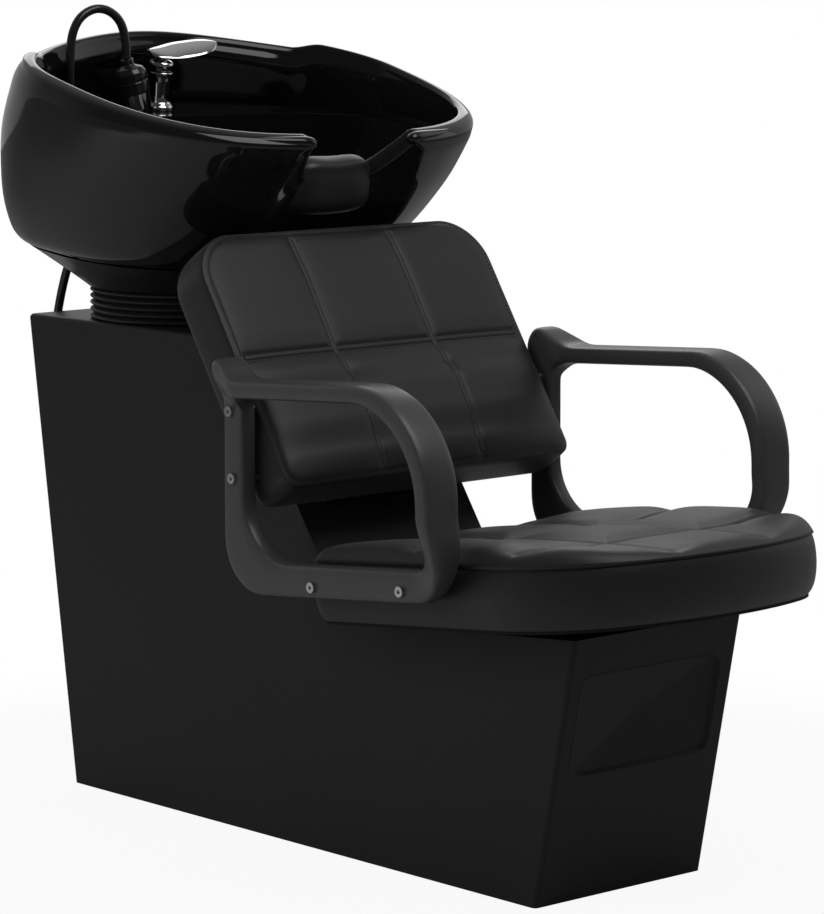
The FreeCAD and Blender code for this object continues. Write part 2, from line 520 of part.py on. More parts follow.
def back_channels():
    """Grooves between the sewn panels: two up the back, and the crease across it."""
    share = 1 - (BACK_CHANNEL_X / BACK_HALF) ** 2
    cuts = []
    for side in SIDES:
        wires = []
        for up, _, crown, _ in back_stations()[2:-2]:
            low, high = crown * share - CHANNEL_DEPTH, crown * share + CHANNEL_DEPTH
            x = side * BACK_CHANNEL_X
            corners = [Vector(x, up, low), Vector(x + CHANNEL_WIDTH, up, high),
                       Vector(x - CHANNEL_WIDTH, up, high)]
            wires.append(Part.makePolygon(corners + corners[:1]))
        cuts.append(Part.makeLoft(wires, True, True))
    return cuts


def back_batten(side):
    """Side batten of the back, in the back's frame."""
    outer = BACK_HALF - BATTEN_INSET
    x0, x1 = sorted((side * outer, side * (outer - BATTEN_WIDTH)))
    return box(x0, x1, BACK_BATTEN_FOOT_UP, BACK_BATTEN_TOP_UP,
               BACK_BOARD - BACK_DEPTH, -BACK_BATTEN_COVER / 2)


def back_board_room():
    """Board at the rear of the back."""
    half, length = BACK_HALF - BATTEN_INSET, BACK_LENGTH - 2 * BATTEN_INSET
    board = rounded_plate(2 * half, length, BACK_TOP_RADIUS - BATTEN_INSET, BACK_BOARD)
    board.translate(Vector(0, BATTEN_INSET + length / 2, -BACK_DEPTH))
    return board


def backrest_board():
    """Plywood board of the back with its two side battens."""
    board = back_board_room()
    for side in SIDES:
        board = board.fuse(back_batten(side))
    return placed(board.removeSplitter(), BACK_FRAME).cut(arm_bolts(BOLT_RADIUS))


def backrest_cushion():
    """Back cushion with its lumbar row, crease and channels, hollow round the board and battens."""
    solid = Part.makeLoft([back_section(*row) for row in back_stations()], True, True)
    solid = solid.cut(back_board_room())
    for side in SIDES:
        solid = solid.cut(back_batten(side))
    for groove in back_channels():
        solid = solid.cut(groove)
    return placed(solid, BACK_FRAME).cut(arm_spacer_holes()).cut(arm_bolts(BOLT_RADIUS))


def back_brackets():
    """Two carriers between the tower's sloping front and the back's board."""
    cuts = []
    outer = side_prism(BASE_OUTLINE, -BASE_HALF, BASE_HALF)
    for side in SIDES:
        x = side * BACK_BRACKET_X
        block = box(x - BACK_BRACKET_WIDTH / 2, x + BACK_BRACKET_WIDTH / 2, BACK_BRACKET_FOOT_UP,
                    BACK_BRACKET_TOP_UP, -2 * BACK_DEPTH, -BACK_DEPTH)
        hollow = box(x - BACK_BRACKET_WIDTH / 2 + PLATE_THICK, x + BACK_BRACKET_WIDTH / 2 - PLATE_THICK,
                     BACK_BRACKET_FOOT_UP - OVERRUN, BACK_BRACKET_TOP_UP + OVERRUN,
                     -2 * BACK_DEPTH - OVERRUN, -BACK_DEPTH - PLATE_THICK)
        cuts.append(placed(block.cut(hollow), BACK_FRAME).cut(outer))
    return Part.makeCompound([c for piece in cuts for c in piece.Solids])


# Arms

def side_wire(points):
    """Closed wire in the side view: a name of two points is a line, of three an arc."""
    edges = []
    for group in points:
        corners = [Vector(0, y, z) for y, z in group]
        edges.append(line(*corners) if len(corners) == 2 else arc(*corners))
    return Part.Wire(edges)


def arm_face():
    """Side view of the loop: its outline less the open middle."""
    outline = side_wire((
        (ARM_TIP_TOP, ARM_TIP_ROOT), (ARM_TIP_ROOT, ARM_BEND_TOP), (ARM_BEND_TOP, ARM_BEND_MID, ARM_FRONT),
        (ARM_FRONT, ARM_FOOT_MID, ARM_FOOT), (ARM_FOOT, ARM_HEEL), (ARM_HEEL, ARM_HEEL_MID, ARM_POST_FOOT),
        (ARM_POST_FOOT, ARM_POST_TOP), (ARM_POST_TOP, ARM_TIP), (ARM_TIP, ARM_TIP_TOP)))
    middle = side_wire((
        (ARM_HOLE_REAR_TOP, ARM_HOLE_BEND_TOP), (ARM_HOLE_BEND_TOP, ARM_HOLE_BEND_MID, ARM_HOLE_FRONT),
        (ARM_HOLE_FRONT, ARM_HOLE_FOOT_MID, ARM_HOLE_FOOT), (ARM_HOLE_FOOT, ARM_HOLE_HEEL),
        (ARM_HOLE_HEEL, ARM_HOLE_HEEL_MID, ARM_HOLE_POST), (ARM_HOLE_POST, ARM_HOLE_REAR_TOP)))
    return Part.Face(outline).cut(Part.Face(middle))


def arm_part(keep, inner, outer):
    """Slab of the loop between two distances from the middle plane, kept inside an outline."""
    slab = arm_face().extrude(Vector(outer - inner, 0, 0))
    slab.translate(Vector(inner, 0, 0))
    return slab.common(side_prism(keep, inner - OVERRUN, outer + OVERRUN))


def arm_tapers():
    """Wedges that bring the band's outer face in to the legs, at the front foot and at the rear tip."""
    far_x = ARM_BAND_OUTER + OVERRUN
    rate = (ARM_BAND_OUTER - ARM_LEG_OUTER) / (ARM_TAPER_TOP_Z - ARM_TAPER_FOOT_Z)
    foot_z = ARM_HEEL[1] - OVERRUN
    corners = [Vector(ARM_LEG_OUTER, 0, foot_z), Vector(ARM_LEG_OUTER, 0, ARM_TAPER_FOOT_Z),
               Vector(far_x, 0, ARM_TAPER_TOP_Z + OVERRUN / rate), Vector(far_x, 0, foot_z)]
    foot = Part.Face(Part.makePolygon(corners + corners[:1])).extrude(Y_AXIS * ARM_TAPER_REAR_Y)
    tip_in = (ARM_BAND_OUTER + ARM_LEG_OUTER) / 2
    slope = (ARM_BAND_OUTER - tip_in) / (ARM_TAPER_REAR_Y - ARM_TAPER_TOP_Y)
    corners = [Vector(ARM_BAND_OUTER, ARM_TAPER_TOP_Y, ARM_BLEND_Z - OVERRUN),
               Vector(tip_in - slope * OVERRUN, ARM_TAPER_REAR_Y + OVERRUN, ARM_BLEND_Z - OVERRUN),
               Vector(far_x, ARM_TAPER_REAR_Y + OVERRUN, ARM_BLEND_Z - OVERRUN),
               Vector(far_x, ARM_TAPER_TOP_Y, ARM_BLEND_Z - OVERRUN)]
    tip_rise = ARM_TIP_TOP[1] - ARM_BLEND_Z + 2 * OVERRUN
    tip = Part.Face(Part.makePolygon(corners + corners[:1])).extrude(Z_AXIS * tip_rise)
    return Part.makeCompound([foot, tip])


def armrest(side):
    """One loop arm: flat legs for seat and back, and a wide band set further out."""
    far_y, far_z = ARM_TIP[0] + OVERRUN, ARM_TIP_TOP[1] + OVERRUN
    front_y, low_z = ARM_FRONT[0] - OVERRUN, ARM_HEEL[1] - OVERRUN
    legs = [(ARM_BLEND_Y, low_z), (ARM_BLEND_Y, ARM_RAIL_SPLIT_Z), (ARM_POST_SPLIT_Y, ARM_RAIL_SPLIT_Z),
            (ARM_POST_SPLIT_Y, far_z), (far_y, far_z), (far_y, low_z)]
    band = [(front_y, low_z), (front_y, far_z), (far_y, far_z), (far_y, ARM_BLEND_Z),
            (ARM_POST_SPLIT_Y, ARM_BLEND_Z), (ARM_BLEND_Y + POST_DEPTH, ARM_RAIL_SPLIT_Z),
            (ARM_BLEND_Y + POST_DEPTH, low_z)]
    solid = arm_part(legs, ARM_LEG_INNER, ARM_LEG_OUTER)
    solid = solid.fuse(arm_part(band, ARM_BAND_INNER, ARM_BAND_OUTER))
    solid = solid.cut(arm_tapers()).removeSplitter()
    if side < 0:
        solid = solid.mirror(Vector(0, 0, 0), X_AXIS)
    return solid.cut(arm_bolts(BOLT_HOLE_RADIUS))


def bolt_sites():
    """(side, station, height) of each arm bolt."""
    for side in SIDES:
        for y, z in ARM_BOLT_PLACES:
            yield side, y, z


def arm_bolts(shank):
    """Arm bolts with round socket heads, or their holes when the shank is opened up."""
    bolts = []
    for side, y, z in bolt_sites():
        axis = X_AXIS * -side
        head_at = Vector(side * (ARM_LEG_OUTER + BOLT_HEAD_HEIGHT), y, z)
        reach = BOLT_HEAD_HEIGHT + ARM_LEG_OUTER - ARM_LEG_INNER + BOLT_GRIP
        bolt = rod(head_at, axis, shank, reach).fuse(rod(head_at, axis, BOLT_HEAD_RADIUS, BOLT_HEAD_HEIGHT))
        bolt = bolt.removeSplitter()
        bolts.append(bolt.cut(rod(head_at, axis, BOLT_SOCKET_RADIUS, BOLT_SOCKET_DEPTH)))
    return Part.makeCompound(bolts)


def arm_spacers():
    """Sleeves round the bolts between legs and battens."""
    rings = []
    for side, y, z in bolt_sites():
        batten = (SEAT_HALF if z < ARM_RAIL_SPLIT_Z else BACK_HALF) - BATTEN_INSET
        start = Vector(side * batten, y, z)
        rings.append(ring(start, X_AXIS * side, SPACER_RADIUS, BOLT_RADIUS, ARM_LEG_INNER - batten))
    return Part.makeCompound(rings)


def arm_spacer_holes():
    """Room for the sleeves through the cushions' sides."""
    holes = []
    for side, y, z in bolt_sites():
        batten = (SEAT_HALF if z < ARM_RAIL_SPLIT_Z else BACK_HALF) - BATTEN_INSET
        holes.append(rod(Vector(side * batten, y, z), X_AXIS * side, SPACER_RADIUS, ARM_LEG_INNER - batten))
    return Part.makeCompound(holes)


# Bowl

def notch_weight(x):
    """1 in the middle of the neck notch, falling to 0 at its edges."""
    across = min(max(abs(x) - NOTCH_FLAT, 0) / (NOTCH_HALF - NOTCH_FLAT), 1)
    return (1 + math.cos(math.pi * across)) / 2


def rear_weight(across):
    """How far the rear rim has dropped, from its middle out to the ears."""
    if across > REAR_DIP_SHARE:
        return 0
    return REAR_DIP_MIDDLE_SHARE + (1 - REAR_DIP_MIDDLE_SHARE) * min(1, across / (REAR_DIP_SHARE / 2))


def loop_turns(spread):
    """(cosine, sine) round an oval from its rear middle: even turns, then closer ones at the notch."""
    power = 2 / BOWL_FRONT_POWER
    turns = [math.radians(90 - BOWL_TURN_STEP * k) for k in range(BOWL_TURN_STEPS)]
    one_side = [(math.cos(turn), math.sin(turn)) for turn in turns]
    for share in NOTCH_POINT_SHARES:
        cosine = (share * spread * NOTCH_HALF / BOWL_HALF) ** (1 / power)
        one_side.append((cosine, -math.sqrt(1 - cosine ** 2)))
    return one_side + [(-cosine, sine) for cosine, sine in one_side[-2:0:-1]]


def arc_chain(points):
    """Closed wire of arcs, each through three points in a row."""
    edges = []
    for k in range(0, len(points), 2):
        edges.append(arc(points[k], points[k + 1], points[(k + 2) % len(points)]))
    return Part.Wire(edges)


def bowl_loop(half, rear, front, y, z, slope, dip=0, set_back=0, rear_dip=0, spread=1):
    """Oval loop of arcs; the neck notch, spread at its foot, lowers and sets back its front; the rear dips."""
    points = []
    for cosine, sine in loop_turns(spread):
        power = 2 / (BOWL_REAR_POWER if sine > 0 else BOWL_FRONT_POWER)
        px = half * math.copysign(abs(cosine) ** power, cosine)
        py = (rear if sine > 0 else front) * math.copysign(abs(sine) ** power, sine)
        notch = notch_weight(px / spread) if sine < 0 else 0
        height = z + slope * py - dip * notch
        if sine > 0:
            height -= rear_dip * rear_weight(abs(px) / half)
        points.append(Vector(px, y + py + set_back * notch, height))
    return arc_chain(points)


def between(low, high, share):
    """Value part of the way from one size to another."""
    return low + (high - low) * share


def body_row(level, full, bulge, notch, inset):
    """Loop sizes of the bowl's wall between the seam and the rim."""
    return (between(SEAM_HALF, BOWL_HALF, full) + BODY_BULGE_HALF * bulge - inset,
            between(SEAM_REAR, BOWL_REAR, full) + BODY_BULGE_REAR * bulge - inset,
            between(SEAM_FRONT, BOWL_FRONT, full) - inset,
            between(SEAM_Y, BOWL_RIM_Y, level),
            between(SEAM_Z, BOWL_RIM_Z, level),
            between(SEAM_SLOPE, BOWL_RIM_SLOPE, level), NOTCH_DIP * notch, NOTCH_SET_BACK * notch,
            REAR_DIP * notch, between(NOTCH_FOOT_SPREAD_SHARE, 1, level))


def rim_row(inset, rise):
    """Loop sizes on the rolled rim."""
    return (BOWL_HALF - inset, BOWL_REAR - inset, BOWL_FRONT - inset, BOWL_RIM_Y, BOWL_RIM_Z + rise,
            BOWL_RIM_SLOPE, NOTCH_DIP, NOTCH_SET_BACK, REAR_DIP)


def bowl_shell():
    """One skin from the seam up the outside, over the rolled rim and down to the basin's floor."""
    rows = [(SEAM_HALF, SEAM_REAR, SEAM_FRONT, SEAM_Y, SEAM_Z, SEAM_SLOPE)]
    levels = list(zip(BODY_LEVEL_SHARES, BODY_FULL_SHARES, BODY_BULGE_SHARES, NOTCH_LEVEL_SHARES))
    rows += [body_row(*level, 0) for level in levels]
    roll = BOWL_RIM_ROLL / 4
    rows += [rim_row(0, 0), rim_row(roll, BOWL_RIM_HEIGHT * BODY_LEVEL_SHARES[2]),
             rim_row(2 * roll, BOWL_RIM_HEIGHT), rim_row(3 * roll, BOWL_RIM_HEIGHT * BODY_LEVEL_SHARES[2]),
             rim_row(4 * roll, 0), rim_row(4 * roll, -BOWL_RIM_ROLL)]
    deck = body_row(*levels[2], BOWL_WALL)
    notch = deck[6:8] + (0, deck[9])
    deck_wall = deck[:4] + (DECK_Z, DECK_SLOPE) + notch
    deck_edge = (deck[0] - BOWL_WALL, DECK_FRONT, deck[2], deck[3], DECK_Z, DECK_SLOPE) + notch
    waist = body_row(*BASIN_WAIST_SHARES, BOWL_WALL + BODY_BULGE_REAR / 4)
    waist = (waist[0], DECK_FRONT * BASIN_REAR_SHARE) + waist[2:8] + (0, waist[9])
    rows += [deck_wall, deck_edge, waist, (FLOOR_HALF, FLOOR_REAR, FLOOR_FRONT, FLOOR_Y, FLOOR_Z, 0)]
    shell = Part.makeLoft([bowl_loop(*row) for row in rows], True, True)
    cavity = box(-CAVITY_HALF, CAVITY_HALF, CAVITY_FRONT_Y, CAVITY_REAR_Y,
                 SEAM_Z - BOWL_HALF, DECK_Z - DECK_PLATE)
    shell = shell.cut(cavity)
    shell = shell.cut(rod(Vector(0, FLOOR_Y, 0), Z_AXIS, DRAIN_RADIUS, BOWL_RIM_Z))
    stem_hole = rod(Z_AXIS * -TAP_STEM_LENGTH, Z_AXIS, TAP_STEM_RADIUS, 2 * TAP_STEM_LENGTH)
    shell = shell.cut(placed(stem_hole, tap_tilt()))
    guide_at = Vector(GUIDE_X, GUIDE_Y, DECK_Z - BOWL_RIM_ROLL)
    return shell.cut(rod(guide_at, Z_AXIS, GUIDE_BORE, BOWL_RIM_ROLL * 3))


def deck_top(y):
    """Height of the tap deck at a station."""
    deck_y = between(SEAM_Y, BOWL_RIM_Y, BODY_LEVEL_SHARES[2])
    return DECK_Z + DECK_SLOPE * (y - deck_y)


def ring_loop(radius, z):
    """Level circle over the bellows with the same run of arcs as the ovals."""
    turns = loop_turns(1)
    return arc_chain([Vector(radius * cosine, BELLOWS_Y + radius * sine, z) for cosine, sine in turns])


def bowl_lower_cover():
    """Saucer that closes the bowl's underside down to the bellows."""
    def skin(inset, lift):
        top = bowl_loop(SEAM_HALF - COVER_STEP - inset, SEAM_REAR - COVER_STEP - inset,
                        SEAM_FRONT - COVER_STEP - inset, SEAM_Y, SEAM_Z, SEAM_SLOPE)
        return Part.makeLoft([ring_loop(BELLOWS_RADIUS - inset, BELLOWS_TOP_Z + lift), top], True, True)
    cover = skin(0, 0).cut(skin(COVER_WALL, COVER_FLOOR))
    return cover.cut(rod(Vector(0, BELLOWS_Y, 0), Z_AXIS, COVER_HOLE_RADIUS, SEAM_Z))


def bellows():
    """Ribbed rubber boot between tower and lower cover, open through the middle."""
    foot = TOWER_TOP_Z
    pitch = (BELLOWS_TOP_Z - foot) / BELLOWS_RIBS
    circles = []
    for rib in range(BELLOWS_RIBS):
        profile = [(0, BELLOWS_ROOT), (RIB_RISE_SHARE, BELLOWS_RADIUS), (RIB_FALL_SHARE, BELLOWS_RADIUS)]
        if rib == BELLOWS_RIBS - 1:
            profile.append((1, BELLOWS_ROOT))
        for share, radius in profile:
            centre = Vector(0, BELLOWS_Y, foot + pitch * (rib + share))
            circles.append(Part.Wire(Part.Edge(Part.Circle(centre, Z_AXIS, radius))))
    skin = Part.makeLoft(circles, True, True)
    return skin.cut(rod(Vector(0, BELLOWS_Y, foot), Z_AXIS, BELLOWS_BORE, BELLOWS_TOP_Z - foot))


def tilt_bracket():
    """Plate under the tower's top with two ears that carry the bowl's pivots."""
    under = TOWER_TOP_Z - BASE_WALL
    plate = box(-BRACKET_WIDTH / 2, BRACKET_WIDTH / 2, BELLOWS_Y - BRACKET_LENGTH / 2,
                BELLOWS_Y + BRACKET_LENGTH / 2, under - PLATE_THICK, under)
    plate = plate.cut(rod(Vector(0, FLOOR_Y, 0), Z_AXIS, BRACKET_HOLE_RADIUS, TOWER_TOP_Z))
    for side in SIDES:
        x0, x1 = sorted((side * EAR_X, side * (EAR_X + EAR_THICK)))
        outline = [(BELLOWS_Y - EAR_BASE, under), (BELLOWS_Y - EAR_RADIUS, PIVOT_Z),
                   (BELLOWS_Y + EAR_RADIUS, PIVOT_Z), (BELLOWS_Y + EAR_BASE, under)]
        ear = side_prism(outline, x0, x1)
        ear = ear.fuse(rod(Vector(x0, BELLOWS_Y, PIVOT_Z), X_AXIS, EAR_RADIUS, EAR_THICK))
        plate = plate.fuse(ear)
        plate = plate.cut(rod(Vector(x0, BELLOWS_Y, PIVOT_Z), X_AXIS, PIN_RADIUS + PIN_FIT, EAR_THICK))
    return plate.removeSplitter()


def pivot_pins():
    """Two short headed pins, fixed in the yoke's lugs and turning in the ears."""
    pins = []
    for side in SIDES:
        inner = EAR_X - LUG_GAP - EAR_THICK
        reach = 2 * EAR_THICK + 2 * LUG_GAP
        shaft = rod(Vector(side * inner, BELLOWS_Y, PIVOT_Z), X_AXIS * side, PIN_RADIUS, reach)
        head_at = Vector(side * (EAR_X + EAR_THICK + LUG_GAP), BELLOWS_Y, PIVOT_Z)
        pins.append(shaft.fuse(rod(head_at, X_AXIS * side, PIN_HEAD_RADIUS, PIN_HEAD)).removeSplitter())
    return Part.makeCompound(pins)


def tilt_yoke(bowl):
    """Plate with two lugs below and four stand-offs up to the bowl's underside."""
    top = BELLOWS_TOP_Z + COVER_FLOOR + PLATE_THICK
    yoke = box(-YOKE_WIDTH / 2, YOKE_WIDTH / 2, BELLOWS_Y - YOKE_LENGTH / 2, BELLOWS_Y + YOKE_LENGTH / 2,
               top - PLATE_THICK, top)
    yoke = yoke.cut(rod(Vector(0, FLOOR_Y, 0), Z_AXIS, DRAIN_NUT_RADIUS + COVER_WALL, SEAM_Z))
    for side in SIDES:
        outer = EAR_X - LUG_GAP
        x0, x1 = sorted((side * outer, side * (outer - EAR_THICK)))
        lug = box(x0, x1, BELLOWS_Y - EAR_RADIUS, BELLOWS_Y + EAR_RADIUS, PIVOT_Z, top - PLATE_THICK)
        lug = lug.fuse(rod(Vector(x0, BELLOWS_Y, PIVOT_Z), X_AXIS, EAR_RADIUS, EAR_THICK))
        lug = lug.cut(rod(Vector(x0, BELLOWS_Y, PIVOT_Z), X_AXIS, PIN_RADIUS, EAR_THICK))
        yoke = yoke.fuse(lug)
        for end in SIDES:
            at = Vector(side * STANDOFF_X, BELLOWS_Y + end * STANDOFF_Y, top)
            yoke = yoke.fuse(rod(at, Z_AXIS, STANDOFF_RADIUS, SEAM_Z - top).cut(bowl))
    return yoke.removeSplitter()


def drain_pieces():
    """Strainer in the basin's floor, back nut under it and the tail pipe."""
    top = FLOOR_Z + STRAINER_THICK
    axis_at = Vector(0, FLOOR_Y, 0)
    strainer = rod(axis_at + Z_AXIS * FLOOR_Z, Z_AXIS, STRAINER_RADIUS, STRAINER_THICK)
    strainer = strainer.fuse(ring(axis_at + Z_AXIS * TAIL_END_Z, Z_AXIS, DRAIN_RADIUS, DRAIN_BORE,
                                  FLOOR_Z - TAIL_END_Z))
    for k in range(STRAINER_HOLES):
        turn = 2 * math.pi * k / STRAINER_HOLES
        at = axis_at + Vector(math.cos(turn), math.sin(turn), 0) * STRAINER_HOLE_CIRCLE
        strainer = strainer.cut(rod(at + Z_AXIS * FLOOR_Z, Z_AXIS, STRAINER_HOLE_RADIUS, top - FLOOR_Z))
    under = SEAM_Z + SEAM_SLOPE * (FLOOR_Y - DRAIN_NUT_RADIUS - SEAM_Y)
    nut_at = axis_at + Z_AXIS * (under - DRAIN_NUT_HEIGHT)
    nut = ring(nut_at, Z_AXIS, DRAIN_NUT_RADIUS, DRAIN_RADIUS, DRAIN_NUT_HEIGHT)
    return strainer.removeSplitter(), nut


def drain_hose():
    """Flexible pipe from the tail down through the tower to the outlet."""
    top = TAIL_END_Z + DRAIN_NUT_HEIGHT / 2
    foot = Vector(0, FLOOR_Y, OUTLET_TOP_Z)
    return ring(foot, Z_AXIS, DRAIN_RADIUS + HOSE_WALL, DRAIN_RADIUS, top - OUTLET_TOP_Z)


def drain_outlet():
    """Outlet spigot pointing at the floor, held by a cross arm between the tower's posts."""
    inner = RAIL_SPREAD / 2 - RAIL_WIDTH / 2
    arm = box(-inner, inner, BELLOWS_Y - OUTLET_ARM_WIDTH / 2, BELLOWS_Y + OUTLET_ARM_WIDTH / 2,
              OUTLET_TOP_Z - PLATE_THICK, OUTLET_TOP_Z)
    reach = OUTLET_TOP_Z - OUTLET_END_Z + DRAIN_NUT_HEIGHT
    spigot = rod(Vector(0, FLOOR_Y, OUTLET_END_Z), Z_AXIS, DRAIN_RADIUS, reach)
    collar = rod(Vector(0, FLOOR_Y, OUTLET_TOP_Z - PLATE_THICK), Z_AXIS, OUTLET_COLLAR_RADIUS, PLATE_THICK)
    bore = rod(Vector(0, FLOOR_Y, 0), Z_AXIS, DRAIN_BORE, TOWER_TOP_Z)
    return arm.fuse(collar).fuse(spigot).cut(bore).removeSplitter()


def neck_rest(bowl):
    """Soft pad laid over the lip of the neck notch, its section a slot shape that leans with the lip."""
    centre = Vector(0, NECK_Y, NECK_Z)
    ends = [Vector(side * NECK_HALF, NECK_Y, NECK_Z + NECK_RISE) for side in SIDES]
    path = arc(ends[0], centre, ends[1])
    lean = math.radians(NECK_LEAN)
    run = Vector(0, math.sin(lean), -math.cos(lean))
    out_of_lip = Vector(0, -math.cos(lean), -math.sin(lean)) * NECK_RADIUS
    low, high = ends[0] + run * NECK_REACH, ends[0] - run * NECK_REACH
    profile = Part.Wire([
        arc(low + out_of_lip, low + run * NECK_RADIUS, low - out_of_lip), line(low - out_of_lip, high - out_of_lip),
        arc(high - out_of_lip, high - run * NECK_RADIUS, high + out_of_lip), line(high + out_of_lip, low + out_of_lip)])
    lap = rim_row(BOWL_RIM_ROLL * NECK_LAP_SHARE, 0)
    inside = [bowl_loop(*lap[:4], lap[4] + lift, *lap[5:]) for lift in (-BOWL_REAR, BOWL_REAR)]
    pad = Part.Wire(path).makePipeShell([profile], True, False).cut(Part.makeLoft(inside, True, True))
    pad = max(pad.cut(bowl).Solids, key=lambda piece: piece.Volume)
    return pad.translated((Z_AXIS - 2 * Y_AXIS) * NECK_SEAT_GAP)


# Tap

def tap_tilt():
    """Frame on the deck under the tap, square to the sloping deck."""
    tilt = math.degrees(math.atan(DECK_SLOPE))
    return Placement(Vector(TAP_X, TAP_Y, deck_top(TAP_Y)), Rotation(X_AXIS, tilt))


def tap_pieces():
    """Mixer body with its flange and stem, and its back nut."""
    tilt = tap_tilt()
    rise = TAP_FLANGE_HEIGHT
    profile = [(0, 0), (TAP_FLANGE_RADIUS, 0), (TAP_FLANGE_RADIUS, rise), (TAP_SHOULDER, rise + TAP_COVE),
               (TAP_WAIST, 2 * rise + TAP_COVE), (TAP_WAIST, TAP_HEIGHT - 2 * rise),
               (TAP_SHOULDER, TAP_HEIGHT), (0, TAP_HEIGHT)]
    body = placed(turned(profile), tilt)
    stem = rod(Z_AXIS * -TAP_STEM_LENGTH, Z_AXIS, TAP_STEM_RADIUS - RUNNING_GAP, TAP_STEM_LENGTH)
    body = body.fuse(placed(stem, tilt)).removeSplitter()
    nut_at = Vector(TAP_X, TAP_Y, DECK_Z - DECK_PLATE - TAP_NUT_HEIGHT)
    nut = rod(nut_at, Z_AXIS, TAP_NUT_RADIUS, TAP_NUT_HEIGHT).cut(body)
    return body, nut


def tap_frame():
    """Frame on top of the mixer body, with the lever's turn."""
    turned_up = Placement(Z_AXIS * (TAP_HEIGHT + RUNNING_GAP), Rotation(Z_AXIS, LEVER_TURN))
    return tap_tilt().multiply(turned_up)


def tap_hub():
    """Cartridge hub that swivels on the body, slotted for the lever's pin."""
    hub = turned([(0, 0), (HUB_RADIUS, 0), (HUB_RADIUS, HUB_HEIGHT * LEVER_WIDTH_SHARES[0]),
                  (HUB_RADIUS * LEVER_WIDTH_SHARES[1], HUB_HEIGHT), (0, HUB_HEIGHT)])
    cheek = LEVER_CHEEK + RUNNING_GAP
    slot = box(-HUB_RADIUS - OVERRUN, HUB_RADIUS + OVERRUN, -cheek, cheek,
               HUB_HEIGHT / 2, HUB_HEIGHT + OVERRUN)
    pin_at = Vector(0, -cheek, HUB_HEIGHT * LEVER_WIDTH_SHARES[1])
    pin = rod(pin_at, Y_AXIS, LEVER_PIN_RADIUS, 2 * cheek)
    return placed(hub.cut(slot).fuse(pin).removeSplitter(), tap_frame())


def tap_lever():
    """Leaf-shaped lever rising from its eye on the hub's pin."""
    pin_z = HUB_HEIGHT * LEVER_WIDTH_SHARES[1]
    eye_radius = HUB_HEIGHT - pin_z + LEVER_THICK / 2
    eye = rod(Vector(0, -LEVER_CHEEK, pin_z), Y_AXIS, eye_radius, 2 * LEVER_CHEEK)
    wires = []
    for along, across in zip(LEVER_LENGTH_SHARES, LEVER_WIDTH_SHARES):
        half = LEVER_WIDTH * across / 2
        x = between(LEVER_ROOT, LEVER_LENGTH, along)
        z = math.tan(math.radians(LEVER_RISE)) * x + HUB_HEIGHT
        wires.append(Part.Wire([
            arc(Vector(x, -half, z), Vector(x, 0, z + LEVER_THICK), Vector(x, half, z)),
            arc(Vector(x, half, z), Vector(x, 0, z - LEVER_THICK * across / 2), Vector(x, -half, z))]))
    leaf = Part.makeLoft(wires, True, True)
    leaf.rotate(Vector(0, 0, HUB_HEIGHT), Vector(1, 0, math.tan(math.radians(LEVER_RISE))), LEVER_BANK)
    neck_end = LEVER_ROOT + LEVER_THICK
    neck_top = math.tan(math.radians(LEVER_RISE)) * LEVER_ROOT + HUB_HEIGHT
    neck_top += LEVER_THICK * LEVER_WIDTH_SHARES[0]
    corners = [Vector(0, -LEVER_CHEEK, pin_z), Vector(neck_end, -LEVER_CHEEK, HUB_HEIGHT + LEVER_THICK / 2),
               Vector(neck_end, -LEVER_CHEEK, neck_top), Vector(0, -LEVER_CHEEK, pin_z + eye_radius)]
    neck = Part.Face(Part.makePolygon(corners + corners[:1])).extrude(Y_AXIS * 2 * LEVER_CHEEK)
    lever = leaf.fuse(neck).fuse(eye)
    hole = rod(Vector(0, -LEVER_CHEEK, pin_z), Y_AXIS, LEVER_PIN_RADIUS + RUNNING_GAP / 2, 2 * LEVER_CHEEK)
    return placed(lever.cut(hole).removeSplitter(), tap_frame())


# Sprayer and hoses

def holder_frame():
    """Frame of the sprayer's holder: axis leaning to the sitter's right."""
    foot = Vector(HOLDER_X, HOLDER_Y, deck_top(HOLDER_Y) + HOLDER_STEM)
    return Placement(foot, Rotation(Y_AXIS, -HOLDER_LEAN))


def sprayer_holder(bowl):
    """Cup on a short stem that the sprayer's nozzle drops into."""
    cup = rod(Vector(0, 0, 0), Z_AXIS, HOLDER_RADIUS, HOLDER_HEIGHT)
    cup = cup.cut(rod(Vector(0, 0, RUNNING_GAP), Z_AXIS, HOLDER_BORE, HOLDER_HEIGHT))
    stem_at = Vector(HOLDER_X, HOLDER_Y, deck_top(HOLDER_Y) - OVERRUN / 2)
    stem = rod(stem_at, Z_AXIS, HOLDER_BORE, HOLDER_STEM + OVERRUN / 2)
    cup_room = placed(rod(Vector(0, 0, 0), Z_AXIS, HOLDER_RADIUS, 2 * HOLDER_HEIGHT), holder_frame())
    holder = placed(cup, holder_frame()).fuse(stem.cut(cup_room))
    return holder.cut(bowl).removeSplitter()


def sprayer_head():
    """Hand sprayer: nozzle plug down in the holder, round head, neck for the hose."""
    foot = 2 * RUNNING_GAP
    shoulder = HOLDER_HEIGHT + RUNNING_GAP
    top = shoulder + SPRAYER_LENGTH
    profile = [(0, foot), (SPRAYER_PLUG_RADIUS, foot), (SPRAYER_PLUG_RADIUS, shoulder),
               (SPRAYER_RADIUS, shoulder), (SPRAYER_RADIUS, top - SPRAYER_NECK),
               (SPRAYER_RADIUS - HOLDER_HEIGHT / 4, top - SPRAYER_NECK / 3),
               (SPRAYER_NECK, top), (SPRAYER_NECK, top + SPRAYER_NECK), (0, top + SPRAYER_NECK)]
    return placed(turned(profile), holder_frame())


